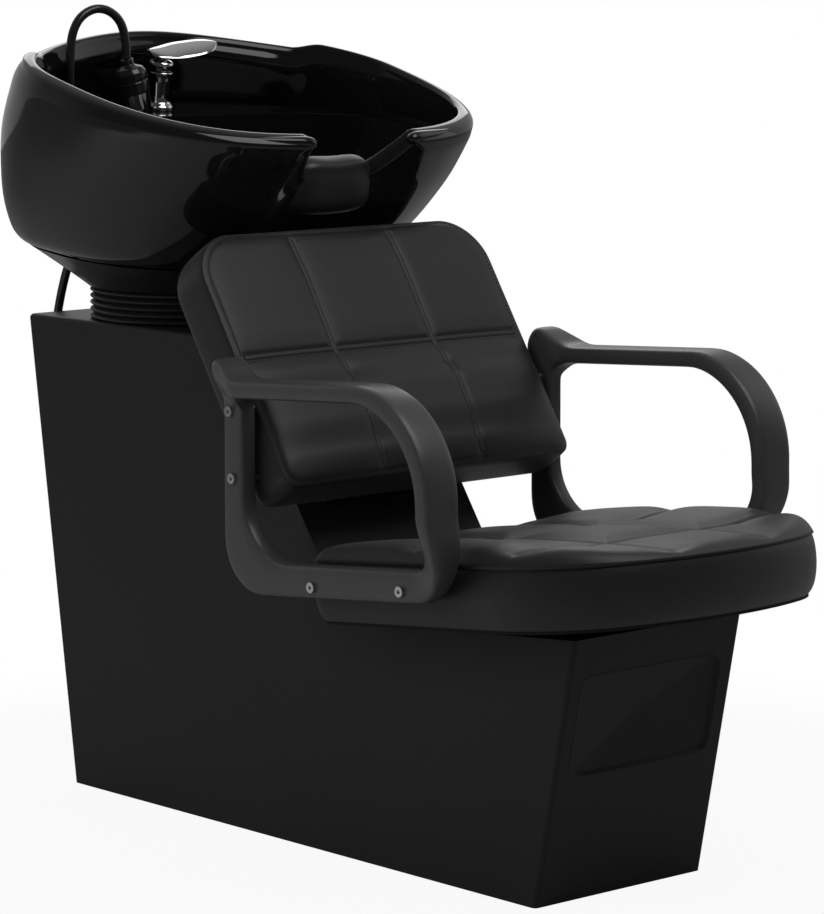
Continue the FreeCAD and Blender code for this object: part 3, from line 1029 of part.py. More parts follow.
def tube(points, radius, label):
    """Round tube along straight runs joined by tangent arcs as large as the runs allow."""
    edges = []
    radii = []
    start = points[0]
    for before, corner, after in zip(points[:-2], points[1:-1], points[2:]):
        into, onward = (before - corner), (after - corner)
        reach = HOSE_BEND_SHARE * min(into.Length, onward.Length)
        turn = math.pi - into.getAngle(onward)
        radii.append(reach / math.tan(turn / 2))
        into.normalize()
        onward.normalize()
        first, last = corner + into * reach, corner + onward * reach
        inward = (into + onward).normalize()
        middle = corner + inward * (radii[-1] / math.cos(turn / 2) - radii[-1])
        edges.append(line(start, first))
        edges.append(arc(first, middle, last))
        start = last
    edges.append(line(start, points[-1]))
    path = Part.Wire(edges)
    profile = Part.Wire(Part.Edge(Part.Circle(points[0], points[1] - points[0], radius)))
    solid = path.makePipeShell([profile], True, False)
    print(label, "radii", [round(r) for r in radii], "length", round(path.Length),
          "volume share", round(solid.Volume / (math.pi * radius ** 2 * path.Length), 4))
    return solid


def sprayer_hose(sprayer):
    """Free loop of hose from the deck's guide up and over into the sprayer's neck."""
    start = Vector(GUIDE_X, GUIDE_Y, deck_top(GUIDE_Y) + RUNNING_GAP)
    neck = holder_frame().multVec(Vector(0, 0, HOLDER_HEIGHT + RUNNING_GAP + SPRAYER_LENGTH + SPRAYER_NECK))
    points = [start] + [Vector(*place) for place in SPRAYER_HOSE_ROUTE] + [neck]
    return tube(points, HOSE_RADIUS, "sprayer_hose").cut(sprayer)


def hose_guide(bowl):
    """Flanged bush in the deck that the sprayer's hose slides through."""
    top = deck_top(GUIDE_Y)
    foot = Vector(GUIDE_X, GUIDE_Y, top - OVERRUN / 2)
    bush = rod(foot, Z_AXIS, GUIDE_RADIUS, GUIDE_HEIGHT + OVERRUN / 2).cut(bowl)
    bore = rod(Vector(GUIDE_X, GUIDE_Y, 0), Z_AXIS, HOSE_RADIUS + HOSE_FIT, top + 2 * GUIDE_HEIGHT)
    return bush.cut(bore)


def rear_grommet():
    """Flanged rubber bush where the supply hose enters the tower's rear wall."""
    flange = rod(Vector(-SUPPLY_X, 0, 0), Z_AXIS, GROMMET_FLANGE_RADIUS, GROMMET_FLANGE)
    depth = BASE_WALL + GROMMET_FLANGE
    barrel = rod(Vector(-SUPPLY_X, 0, -depth), Z_AXIS, GROMMET_RADIUS, depth)
    bore = rod(Vector(-SUPPLY_X, 0, -OVERRUN), Z_AXIS, HOSE_RADIUS + HOSE_FIT, 2 * OVERRUN)
    return placed(flange.fuse(barrel).cut(bore).removeSplitter(), rear_frame(GROMMET_UP))


def supply_hose(cover):
    """Hose from the lower cover's rear down behind the tower and into the grommet."""
    wall = rear_frame(GROMMET_UP)
    points = [Vector(SUPPLY_X, y, z) for y, z in SUPPLY_HOSE_ROUTE]
    points += [wall.multVec(Vector(-SUPPLY_X, 0, out)) for out in (GROMMET_LEAD, -GROMMET_TAIL)]
    pieces = tube(points, HOSE_RADIUS, "supply_hose").cut(cover).Solids
    return max(pieces, key=lambda piece: piece.Volume)


def main():
    os.makedirs("parts", exist_ok=True)
    bowl = bowl_shell()
    cover = bowl_lower_cover()
    body, nut = tap_pieces()
    strainer, drain_nut = drain_pieces()
    out("base_shell", base_shell())
    out("rear_panel", rear_panel())
    out("rear_panel_screws", panel_screws(PANEL_SCREW_RADIUS))
    out("base_frame", base_frame())
    out("seat_bracket", seat_bracket())
    out("seat_board", seat_board())
    out("seat_cushion", seat_cushion())
    out("backrest_board", backrest_board())
    out("backrest_cushion", backrest_cushion())
    out("back_brackets", back_brackets())
    out("armrest_right", armrest(-1))
    out("armrest_left", armrest(1))
    out("arm_bolts", arm_bolts(BOLT_RADIUS))
    out("arm_spacers", arm_spacers())
    out("bowl_shell", bowl)
    out("bowl_lower_cover", cover)
    out("bellows", bellows())
    out("tilt_bracket", tilt_bracket())
    out("pivot_pins", pivot_pins())
    out("tilt_yoke", tilt_yoke(bowl))
    out("drain_strainer", strainer)
    out("drain_nut", drain_nut)
    out("drain_hose", drain_hose())
    out("drain_outlet", drain_outlet())
    out("neck_rest", neck_rest(bowl))
    out("tap_body", body)
    out("tap_nut", nut)
    out("tap_hub", tap_hub())
    out("tap_lever", tap_lever())
    out("sprayer_holder", sprayer_holder(bowl))
    sprayer = sprayer_head()
    out("sprayer_head", sprayer)
    out("sprayer_hose", sprayer_hose(sprayer))
    out("hose_guide", hose_guide(bowl))
    out("rear_grommet", rear_grommet())
    out("supply_hose", supply_hose(cover))


main()
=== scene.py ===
"""Dressing of the backwash unit: glossy tilting bowl, sewn seat and back, loop arms and moulded pedestal."""

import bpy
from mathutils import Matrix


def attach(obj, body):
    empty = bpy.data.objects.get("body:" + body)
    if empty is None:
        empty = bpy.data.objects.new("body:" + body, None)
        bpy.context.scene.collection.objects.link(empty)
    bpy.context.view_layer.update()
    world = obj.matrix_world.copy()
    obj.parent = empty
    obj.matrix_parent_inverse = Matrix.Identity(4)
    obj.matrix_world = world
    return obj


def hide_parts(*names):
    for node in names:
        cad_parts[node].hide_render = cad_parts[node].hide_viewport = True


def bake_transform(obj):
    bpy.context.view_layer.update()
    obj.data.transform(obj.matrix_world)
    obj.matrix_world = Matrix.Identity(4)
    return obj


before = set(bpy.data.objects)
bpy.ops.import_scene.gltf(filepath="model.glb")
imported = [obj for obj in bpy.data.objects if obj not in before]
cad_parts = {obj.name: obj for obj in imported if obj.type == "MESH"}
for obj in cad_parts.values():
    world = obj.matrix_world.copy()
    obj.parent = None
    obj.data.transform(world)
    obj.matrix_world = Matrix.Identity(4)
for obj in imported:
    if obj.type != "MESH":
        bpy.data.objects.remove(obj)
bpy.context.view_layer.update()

import logging
import math
from dataclasses import dataclass, field
from enum import Enum
from typing import Callable, Sequence

import bmesh
import bpy
from mathutils import Matrix, Vector

log = logging.getLogger("backwash_unit")
Row = Sequence[float]
Place = tuple[float, float]
Colour = tuple[float, float, float]

PER_METRE = 1000.0
# Station of the row frame's origin, in metres from the front foot
MIDDLE = 0.4177
# The bowl's sloping deck, in millimetres
DECK_HEIGHT, DECK_SLOPE, DECK_STATION = 900.0, 0.12, 759.0
# Sockets of a colour Mix node
MIX_A, MIX_B, MIX_OUT = 6, 7, 2
WHITE = (1.0, 1.0, 1.0, 1.0)
UP = Vector((0.0, 0.0, 1.0))


class Side(Enum):
    """Side of the sitter, as the sign of X."""

    RIGHT = -1
    LEFT = 1


class Body(str, Enum):
    """Moving bodies of the unit."""

    BASE = "base"
    BOWL = "bowl"
    HUB = "tap_hub"
    LEVER = "tap_lever"
    SPRAYER = "sprayer"


# Points, runs and skins

def metres(x: float, y: float, z: float) -> Vector:
    """Vector in metres from sizes in millimetres."""
    return Vector((x, y, z)) / PER_METRE


def spot(x: float, y: float, z: float) -> Vector:
    """Point in the row frame from a place in millimetres, with its station counted from the front foot."""
    return Vector((x / PER_METRE, y / PER_METRE - MIDDLE, z / PER_METRE))


def deck_at(station: float) -> float:
    """Height of the bowl's deck at a station."""
    return DECK_HEIGHT + DECK_SLOPE * (station - DECK_STATION)


def smooth_step(value: float) -> float:
    """Eased 0 to 1."""
    value = min(max(value, 0.0), 1.0)
    return value * value * (3.0 - 2.0 * value)


def bell(gap: float, width: float) -> float:
    """Bell curve that is 1 at no gap."""
    return math.exp(-(gap / width) ** 2)


def mix(low: float, high: float, share: float) -> float:
    """Value part of the way from low to high."""
    return low + (high - low) * share


def between(low: Row, high: Row, shares: Row) -> list[list[float]]:
    """Rows part of the way from one row to another."""
    return [[mix(a, b, share) for a, b in zip(low, high)] for share in shares]


def turns_of(count: int) -> list[float]:
    """Even turns round a circle."""
    return [math.tau * k / count for k in range(count)]


def squared(turn: float, power: float) -> Place:
    """Place at a turn on a unit circle that is squared by a power below 1."""
    cosine, sine = math.cos(turn), math.sin(turn)
    return math.copysign(abs(cosine) ** power, cosine), math.copysign(abs(sine) ** power, sine)


def through(rows: Sequence[Row], steps: int) -> list[list[float]]:
    """Smooth run of rows that passes through the given ones.

    Args:
        rows: rows of numbers of one length.
        steps: new rows in each span.

    Returns:
        The rows of the run.
    """
    last = len(rows) - 1
    run: list[list[float]] = []
    for span in range(last):
        near = [rows[min(max(span + k, 0), last)] for k in (-1, 0, 1, 2)]
        for step in range(steps):
            t = step / steps
            run.append([0.5 * (2 * q + (r - p) * t + (2 * p - 5 * q + 4 * r - s) * t * t
                               + (3 * q - 3 * r + s - p) * t ** 3) for p, q, r, s in zip(*near)])
    return [*run, list(rows[-1])]


def shares_along(points: Sequence[Vector], wants: Row) -> list[tuple[int, float]]:
    """Where a line reaches given shares of its length.

    Args:
        points: the line.
        wants: rising shares of its length.

    Returns:
        A span and the share of it, for each.
    """
    lengths = [0.0]
    for a, b in zip(points[:-1], points[1:]):
        lengths.append(lengths[-1] + (b - a).length)
    found, span = [], 0
    for want in wants:
        reach = lengths[-1] * want
        while lengths[span + 1] < reach:
            span += 1
        found.append((span, (reach - lengths[span]) / max(lengths[span + 1] - lengths[span], 1e-9)))
    return found


def even(points: Sequence[Vector], count: int) -> list[Vector]:
    """Points spaced evenly round a closed line, the first one kept.

    Args:
        points: corners of the closed line.
        count: how many points are wanted.

    Returns:
        The points.
    """
    ring = [*points, points[0]]
    wants = [k / count for k in range(count)]
    return [ring[span].lerp(ring[span + 1], share) for span, share in shares_along(ring, wants)]


def round_run(centre: Row, radius: float, start: float, sweep: float, count: int) -> list[Place]:
    """Points on a circle, from one turn to just before the end of a sweep."""
    turns = [start + sweep * k / count for k in range(count)]
    return [(centre[0] + radius * math.cos(t), centre[1] + radius * math.sin(t)) for t in turns]


def line_run(a: Row, b: Row, count: int) -> list[Place]:
    """Points on a straight run, from the first place to just before the last."""
    return [(mix(a[0], b[0], k / count), mix(a[1], b[1], k / count)) for k in range(count)]


def arc_run(a: Row, b: Row, c: Row, count: int) -> list[Place]:
    """Points on the circle through three places in a plane, from the first to just before the last.

    Args:
        a: first place.
        b: place on the way.
        c: last place.
        count: how many points are wanted.

    Returns:
        The points.
    """
    (ax, ay), (bx, by), (cx, cy) = a, b, c
    d = 2 * (ax * (by - cy) + bx * (cy - ay) + cx * (ay - by))
    ux = ((ax**2 + ay**2) * (by - cy) + (bx**2 + by**2) * (cy - ay) + (cx**2 + cy**2) * (ay - by)) / d
    uy = ((ax**2 + ay**2) * (cx - bx) + (bx**2 + by**2) * (ax - cx) + (cx**2 + cy**2) * (bx - ax)) / d
    start = math.atan2(ay - uy, ax - ux)
    middle = (math.atan2(by - uy, bx - ux) - start) % math.tau
    sweep = (math.atan2(cy - uy, cx - ux) - start) % math.tau
    if middle > sweep:
        sweep -= math.tau
    return round_run((ux, uy), math.hypot(ax - ux, ay - uy), start, sweep, count)


def mesh_object(name: str, bm: bmesh.types.BMesh) -> bpy.types.Object:
    """Object from a finished bmesh, smooth shaded.

    Args:
        name: the piece's name.
        bm: its surface, freed here.

    Returns:
        The linked object.
    """
    bmesh.ops.recalc_face_normals(bm, faces=bm.faces)
    mesh = bpy.data.meshes.new(name)
    bm.to_mesh(mesh)
    bm.free()
    for polygon in mesh.polygons:
        polygon.use_smooth = True
    piece = bpy.data.objects.new(name, mesh)
    bpy.context.collection.objects.link(piece)
    return piece


def skin(name: str, loops: Sequence[Sequence[Vector]], ends: bool = True, wrap: bool = False) -> bpy.types.Object:
    """Skin over a row of closed loops.

    Args:
        name: the piece's name.
        loops: loops with one number of points each.
        ends: whether the first and last loops are closed over.
        wrap: whether the last loop runs on into the first.

    Returns:
        The linked object.
    """
    bm = bmesh.new()
    grid = [[bm.verts.new(point) for point in loop] for loop in loops]
    pairs = list(zip(grid[:-1], grid[1:]))
    if wrap:
        pairs.append((grid[-1], grid[0]))
    for low, high in pairs:
        for k in range(len(low)):
            n = (k + 1) % len(low)
            bm.faces.new((low[k], low[n], high[n], high[k]))
    for loop in (grid[0], grid[-1]) if ends and not wrap else ():
        centre = bm.verts.new(sum((v.co for v in loop), Vector()) / len(loop))
        for k in range(len(loop)):
            bm.faces.new((loop[k], loop[(k + 1) % len(loop)], centre))
    return mesh_object(name, bm)


def lathe(name: str, profile: Sequence[Row], frame_of: Matrix, turns: int = 72) -> bpy.types.Object:
    """Turned piece from (radius, height) rows in millimetres, in its own frame.

    Args:
        name: the piece's name.
        profile: rows from foot to top.
        frame_of: the piece's frame in the row frame.
        turns: points round.

    Returns:
        The linked object.
    """
    return skin(name, [[frame_of @ metres(radius * math.cos(t), radius * math.sin(t), height) for t in turns_of(turns)]
                       for radius, height in profile])


def round_loops(rows: Sequence[Row], station: float, count: int) -> list[list[Vector]]:
    """Level round loops on the unit's middle line, from (radius, height) rows."""
    return [[spot(r * math.cos(t), station + r * math.sin(t), z) for t in turns_of(count)] for r, z in rows]


def rounded(profile: Sequence[Row], radius: float, steps: int = 4) -> list[Place]:
    """Profile with its inner corners rounded.

    Args:
        profile: corner places.
        radius: distance along each run at which the rounding starts.
        steps: points on each rounding.

    Returns:
        The rounded profile.
    """
    most = 0.45
    places: list[Place] = [tuple(profile[0])]
    for before, corner, after in zip(profile[:-2], profile[1:-1], profile[2:]):
        a, b, c = Vector(before), Vector(corner), Vector(after)
        reach = min(radius, most * (b - a).length, most * (c - b).length)
        first, last = b + (a - b).normalized() * reach, b + (c - b).normalized() * reach
        for k in range(steps + 1):
            t = k / steps
            place = first * (1 - t) ** 2 + b * 2 * t * (1 - t) + last * t * t
            places.append((place.x, place.y))
    return [*places, tuple(profile[-1])]


def soften(piece: bpy.types.Object, levels: int = 1) -> bpy.types.Object:
    """Adds a subdivision surface.

    Args:
        piece: the piece to soften.
        levels: how often it is divided.

    Returns:
        The piece.
    """
    modifier = piece.modifiers.new("soft", "SUBSURF")
    modifier.levels = modifier.render_levels = levels
    return piece


# Shared surface effects

def set_inputs(node: bpy.types.Node, values: dict) -> None:
    """Sets inputs of a node, by name or number."""
    for key, value in values.items():
        node.inputs[key].default_value = value


def add_node(tree: bpy.types.NodeTree, kind: str, values: dict | None = None, **settings: object) -> bpy.types.Node:
    """Adds a shader node.

    Args:
        tree: the tree that takes it.
        kind: its type, without the common prefix.
        values: values of its inputs.
        settings: its own settings, such as its operation.

    Returns:
        The node.
    """
    made = tree.nodes.new("ShaderNode" + kind)
    for name, value in settings.items():
        setattr(made, name, value)
    set_inputs(made, values or {})
    return made


def wire(tree: bpy.types.NodeTree, *pairs: tuple[bpy.types.NodeSocket, bpy.types.NodeSocket]) -> None:
    """Links pairs of sockets, each from an output to an input."""
    for start, end in pairs:
        tree.links.new(start, end)


def effect(name: str, control: str, value: float,
           *outputs: str) -> tuple[bpy.types.NodeTree, bpy.types.Node, bpy.types.Node]:
    """Starts a shared effect.

    Args:
        name: the group's name.
        control: name of its input.
        value: what the input holds at first.
        outputs: names of its outputs.

    Returns:
        The group and its nodes for input and output.
    """
    group = bpy.data.node_groups.new(name, "ShaderNodeTree")
    group.interface.new_socket(control, in_out="INPUT", socket_type="NodeSocketFloat").default_value = value
    for output in outputs:
        group.interface.new_socket(output, in_out="OUTPUT", socket_type="NodeSocketFloat")
    return group, group.nodes.new("NodeGroupInput"), group.nodes.new("NodeGroupOutput")


def grain_group() -> bpy.types.NodeTree:
    """Pebbled grain of artificial leather: a height and a tone.

    Returns:
        The group.
    """
    group, way_in, way_out = effect("leather_grain", "Scale", 900.0, "Height", "Tone")
    place = add_node(group, "TexCoord")
    cells = add_node(group, "TexVoronoi", feature="DISTANCE_TO_EDGE")
    creases = add_node(group, "TexNoise", {"Detail": 6.0, "Scale": 160.0})
    broad = add_node(group, "TexNoise", {"Detail": 3.0, "Scale": 9.0})
    lift = add_node(group, "Math", {1: 0.45}, operation="MULTIPLY_ADD")
    wire(group, *((place.outputs["Object"], texture.inputs["Vector"]) for texture in (cells, creases, broad)),
         (way_in.outputs["Scale"], cells.inputs["Scale"]), (creases.outputs["Fac"], lift.inputs[0]),
         (cells.outputs["Distance"], lift.inputs[2]), (lift.outputs[0], way_out.inputs["Height"]),
         (broad.outputs["Fac"], way_out.inputs["Tone"]))
    return group


def mould_group() -> bpy.types.NodeTree:
    """Fine spark texture and slow tone of a moulded part.

    Returns:
        The group.
    """
    group, way_in, way_out = effect("moulded_texture", "Scale", 1500.0, "Height", "Tone")
    place = add_node(group, "TexCoord")
    fine = add_node(group, "TexNoise", {"Detail": 2.0})
    slow = add_node(group, "TexNoise", {"Detail": 4.0, "Scale": 5.0})
    wire(group, *((place.outputs["Object"], texture.inputs["Vector"]) for texture in (fine, slow)),
         (way_in.outputs["Scale"], fine.inputs["Scale"]), (fine.outputs["Fac"], way_out.inputs["Height"]),
         (slow.outputs["Fac"], way_out.inputs["Tone"]))
    return group


def dust_group() -> bpy.types.NodeTree:
    """Thin dust on faces that look up, as a mask.

    Returns:
        The group.
    """
    group, way_in, way_out = effect("settled_dust", "Amount", 0.1, "Mask")
    surface, split, place = (add_node(group, kind) for kind in ("NewGeometry", "SeparateXYZ", "TexCoord"))
    specks = add_node(group, "TexNoise", {"Detail": 8.0, "Scale": 60.0})
    up = add_node(group, "MapRange", {"From Min": 0.5})
    both, scaled = (add_node(group, "Math", operation="MULTIPLY") for _ in range(2))
    wire(group, (surface.outputs["Normal"], split.inputs[0]), (split.outputs["Z"], up.inputs["Value"]),
         (place.outputs["Object"], specks.inputs["Vector"]), (up.outputs["Result"], both.inputs[0]),
         (specks.outputs["Fac"], both.inputs[1]), (both.outputs[0], scaled.inputs[0]),
         (way_in.outputs["Amount"], scaled.inputs[1]), (scaled.outputs[0], way_out.inputs["Mask"]))
    return group


class Texture(Enum):
    """Which shared effect gives a finish its height and tone."""

    LEATHER = "leather_grain"
    MOULDED = "moulded_texture"


GROUPS: dict[str, Callable[[], bpy.types.NodeTree]] = {
    "leather_grain": grain_group, "moulded_texture": mould_group, "settled_dust": dust_group}
DUST = (0.32, 0.31, 0.3, 1.0)


def shared(name: str) -> bpy.types.NodeTree:
    """The shared effect of that name, built the first time it is asked for."""
    return bpy.data.node_groups.get(name) or GROUPS[name]()


@dataclass(frozen=True)
class Finish:
    """One surface finish: tone range, roughness range, texture and gloss."""

    name: str
    dark: Colour
    light: Colour
    rough: Place
    texture: Texture = Texture.MOULDED
    scale: float = 1500.0
    bump: float = 0.05
    depth: float = 0.0004
    metal: float = 0.0
    specular: float = 0.5
    sheen: float = 0.0
    dust: float = 0.0

    def material(self) -> bpy.types.Material:
        """The finish as a material, made once.

        Returns:
            The material.
        """
        made = bpy.data.materials.get(self.name)
        if made:
            return made
        made = bpy.data.materials.new(self.name)
        made.use_nodes = True
        tree = made.node_tree
        shader = tree.nodes["Principled BSDF"]
        set_inputs(shader, {"Metallic": self.metal, "Specular IOR Level": self.specular, "Sheen Weight": self.sheen})
        relief = add_node(tree, "Group", {"Scale": self.scale}, node_tree=shared(self.texture.value))
        tone = add_node(tree, "Mix", data_type="RGBA")
        set_inputs(tone, {MIX_A: (*self.dark, 1.0), MIX_B: (*self.light, 1.0)})
        colour = tone.outputs[MIX_OUT]
        if self.dust:
            settled = add_node(tree, "Group", {"Amount": self.dust}, node_tree=shared("settled_dust"))
            dusty = add_node(tree, "Mix", {MIX_B: DUST}, data_type="RGBA")
            wire(tree, (settled.outputs["Mask"], dusty.inputs[0]), (colour, dusty.inputs[MIX_A]))
            colour = dusty.outputs[MIX_OUT]
        rough = add_node(tree, "MapRange", {"To Min": self.rough[0], "To Max": self.rough[1]})
        bump = add_node(tree, "Bump", {"Strength": self.bump, "Distance": self.depth})
        wire(tree, (relief.outputs["Tone"], tone.inputs[0]), (colour, shader.inputs["Base Color"]),
             (relief.outputs["Tone"], rough.inputs["Value"]), (rough.outputs["Result"], shader.inputs["Roughness"]),
             (relief.outputs["Height"], bump.inputs["Height"]), (bump.outputs["Normal"], shader.inputs["Normal"]))
        return made


GLAZE = Finish("bowl_glaze", (0.004, 0.004, 0.0045), (0.006, 0.006, 0.0065), (0.05, 0.085), scale=220.0, bump=0.02,
               depth=0.0002, specular=0.42)
PEDESTAL = Finish("pedestal_plastic", (0.0092, 0.0092, 0.0098), (0.0128, 0.0128, 0.0134), (0.40, 0.50), bump=0.12,
                  specular=0.18)
COVER = Finish("cover_plastic", (0.007, 0.007, 0.0075), (0.01, 0.01, 0.0105), (0.22, 0.32), specular=0.4)
ARM = Finish("arm_polymer", (0.029, 0.029, 0.0298), (0.039, 0.039, 0.0398), (0.31, 0.39), scale=1100.0, bump=0.14,
             specular=0.42)
HIDE = Finish("sewn_leather", (0.0078, 0.0078, 0.0082), (0.0112, 0.0112, 0.0116), (0.40, 0.50), Texture.LEATHER, 620.0,
              0.16, 0.0006, specular=0.33, sheen=0.05)
THREAD = Finish("stitch_thread", (0.012, 0.012, 0.0125), (0.03, 0.03, 0.031), (0.5, 0.6), scale=2600.0, bump=0.3)
RUBBER = Finish("boot_rubber", (0.006, 0.006, 0.006), (0.011, 0.011, 0.011), (0.42, 0.58), bump=0.1, specular=0.35)
GEL = Finish("neck_gel", (0.006, 0.006, 0.0065), (0.011, 0.011, 0.012), (0.32, 0.42), bump=0.06, specular=0.42)
CHROME = Finish("tap_chrome", (0.58, 0.58, 0.59), (0.66, 0.66, 0.67), (0.035, 0.08), scale=300.0, bump=0.01, metal=1.0)
PLATED = Finish("plated_bolt", (0.50, 0.50, 0.51), (0.68, 0.68, 0.69), (0.14, 0.26), scale=900.0, bump=0.08, metal=1.0)
SPRAY = Finish("sprayer_plastic", (0.005, 0.005, 0.0055), (0.009, 0.009, 0.0095), (0.10, 0.18), bump=0.02)
SLEEVE = Finish("hose_sleeve", (0.005, 0.005, 0.0055), (0.010, 0.010, 0.0105), (0.20, 0.30), scale=1800.0, bump=0.08)
COATED = Finish("coated_steel", (0.018, 0.018, 0.019), (0.03, 0.03, 0.031), (0.36, 0.5), bump=0.2, dust=0.15)
PLY = Finish("lined_board", (0.004, 0.004, 0.004), (0.007, 0.007, 0.007), (0.7, 0.85), Texture.LEATHER, 400.0, 0.2,
             specular=0.2)
PIPE = Finish("waste_pipe", (0.10, 0.10, 0.10), (0.15, 0.15, 0.15), (0.4, 0.52), bump=0.1)
BRASS = Finish("turned_brass", (0.52, 0.36, 0.13), (0.66, 0.48, 0.2), (0.2, 0.34), metal=1.0)

CAD_FINISHES: dict[Finish, tuple[str, ...]] = {
    PEDESTAL: ("base_shell", "rear_panel"), COVER: ("bowl_lower_cover",),
    COATED: ("base_frame", "seat_bracket", "back_brackets", "tilt_bracket", "tilt_yoke"),
    PLATED: ("rear_panel_screws", "arm_bolts", "arm_spacers", "pivot_pins"), PLY: ("seat_board", "backrest_board"),
    CHROME: ("drain_strainer", "sprayer_holder"), BRASS: ("tap_nut",), RUBBER: ("rear_grommet", "hose_guide"),
    PIPE: ("drain_nut", "drain_outlet")}


def dress_solids() -> None:
    """Gives every solid that stays in view its finish."""
    for finish, names in CAD_FINISHES.items():
        for name in names:
            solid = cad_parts[name]
            solid.data.materials.clear()
            solid.data.materials.append(finish.material())


def dress(piece: bpy.types.Object, finish: Finish, body: Body, slot: str, *nodes: str) -> bpy.types.Object:
    """Gives a piece its finish, its body and the solids it stands for.

    Args:
        piece: the finished piece.
        finish: its surface.
        body: the body that carries it.
        slot: not used.
        nodes: solids it replaces.

    Returns:
        The piece.
    """
    piece.data.materials.clear()
    piece.data.materials.append(finish.material())
    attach(piece, body.value)
    if nodes:
        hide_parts(*nodes)
    log.info("%s on %s", piece.name, body.value)
    return piece


def dress_bending(piece: bpy.types.Object, finish: Finish,
                  node: str) -> bpy.types.Object:
    """Gives a piece that bends between the base and the bowl its finish and the solid it stands for.

    Args:
        piece: the finished piece.
        finish: its surface.
        node: the solid it replaces.

    Returns:
        The piece.
    """
    piece.data.materials.append(finish.material())
    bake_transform(piece)
    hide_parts(node)
    log.info("%s between %s and %s", piece.name, Body.BASE.value, Body.BOWL.value)
    return piece


# Bowl, with its boot and its drain

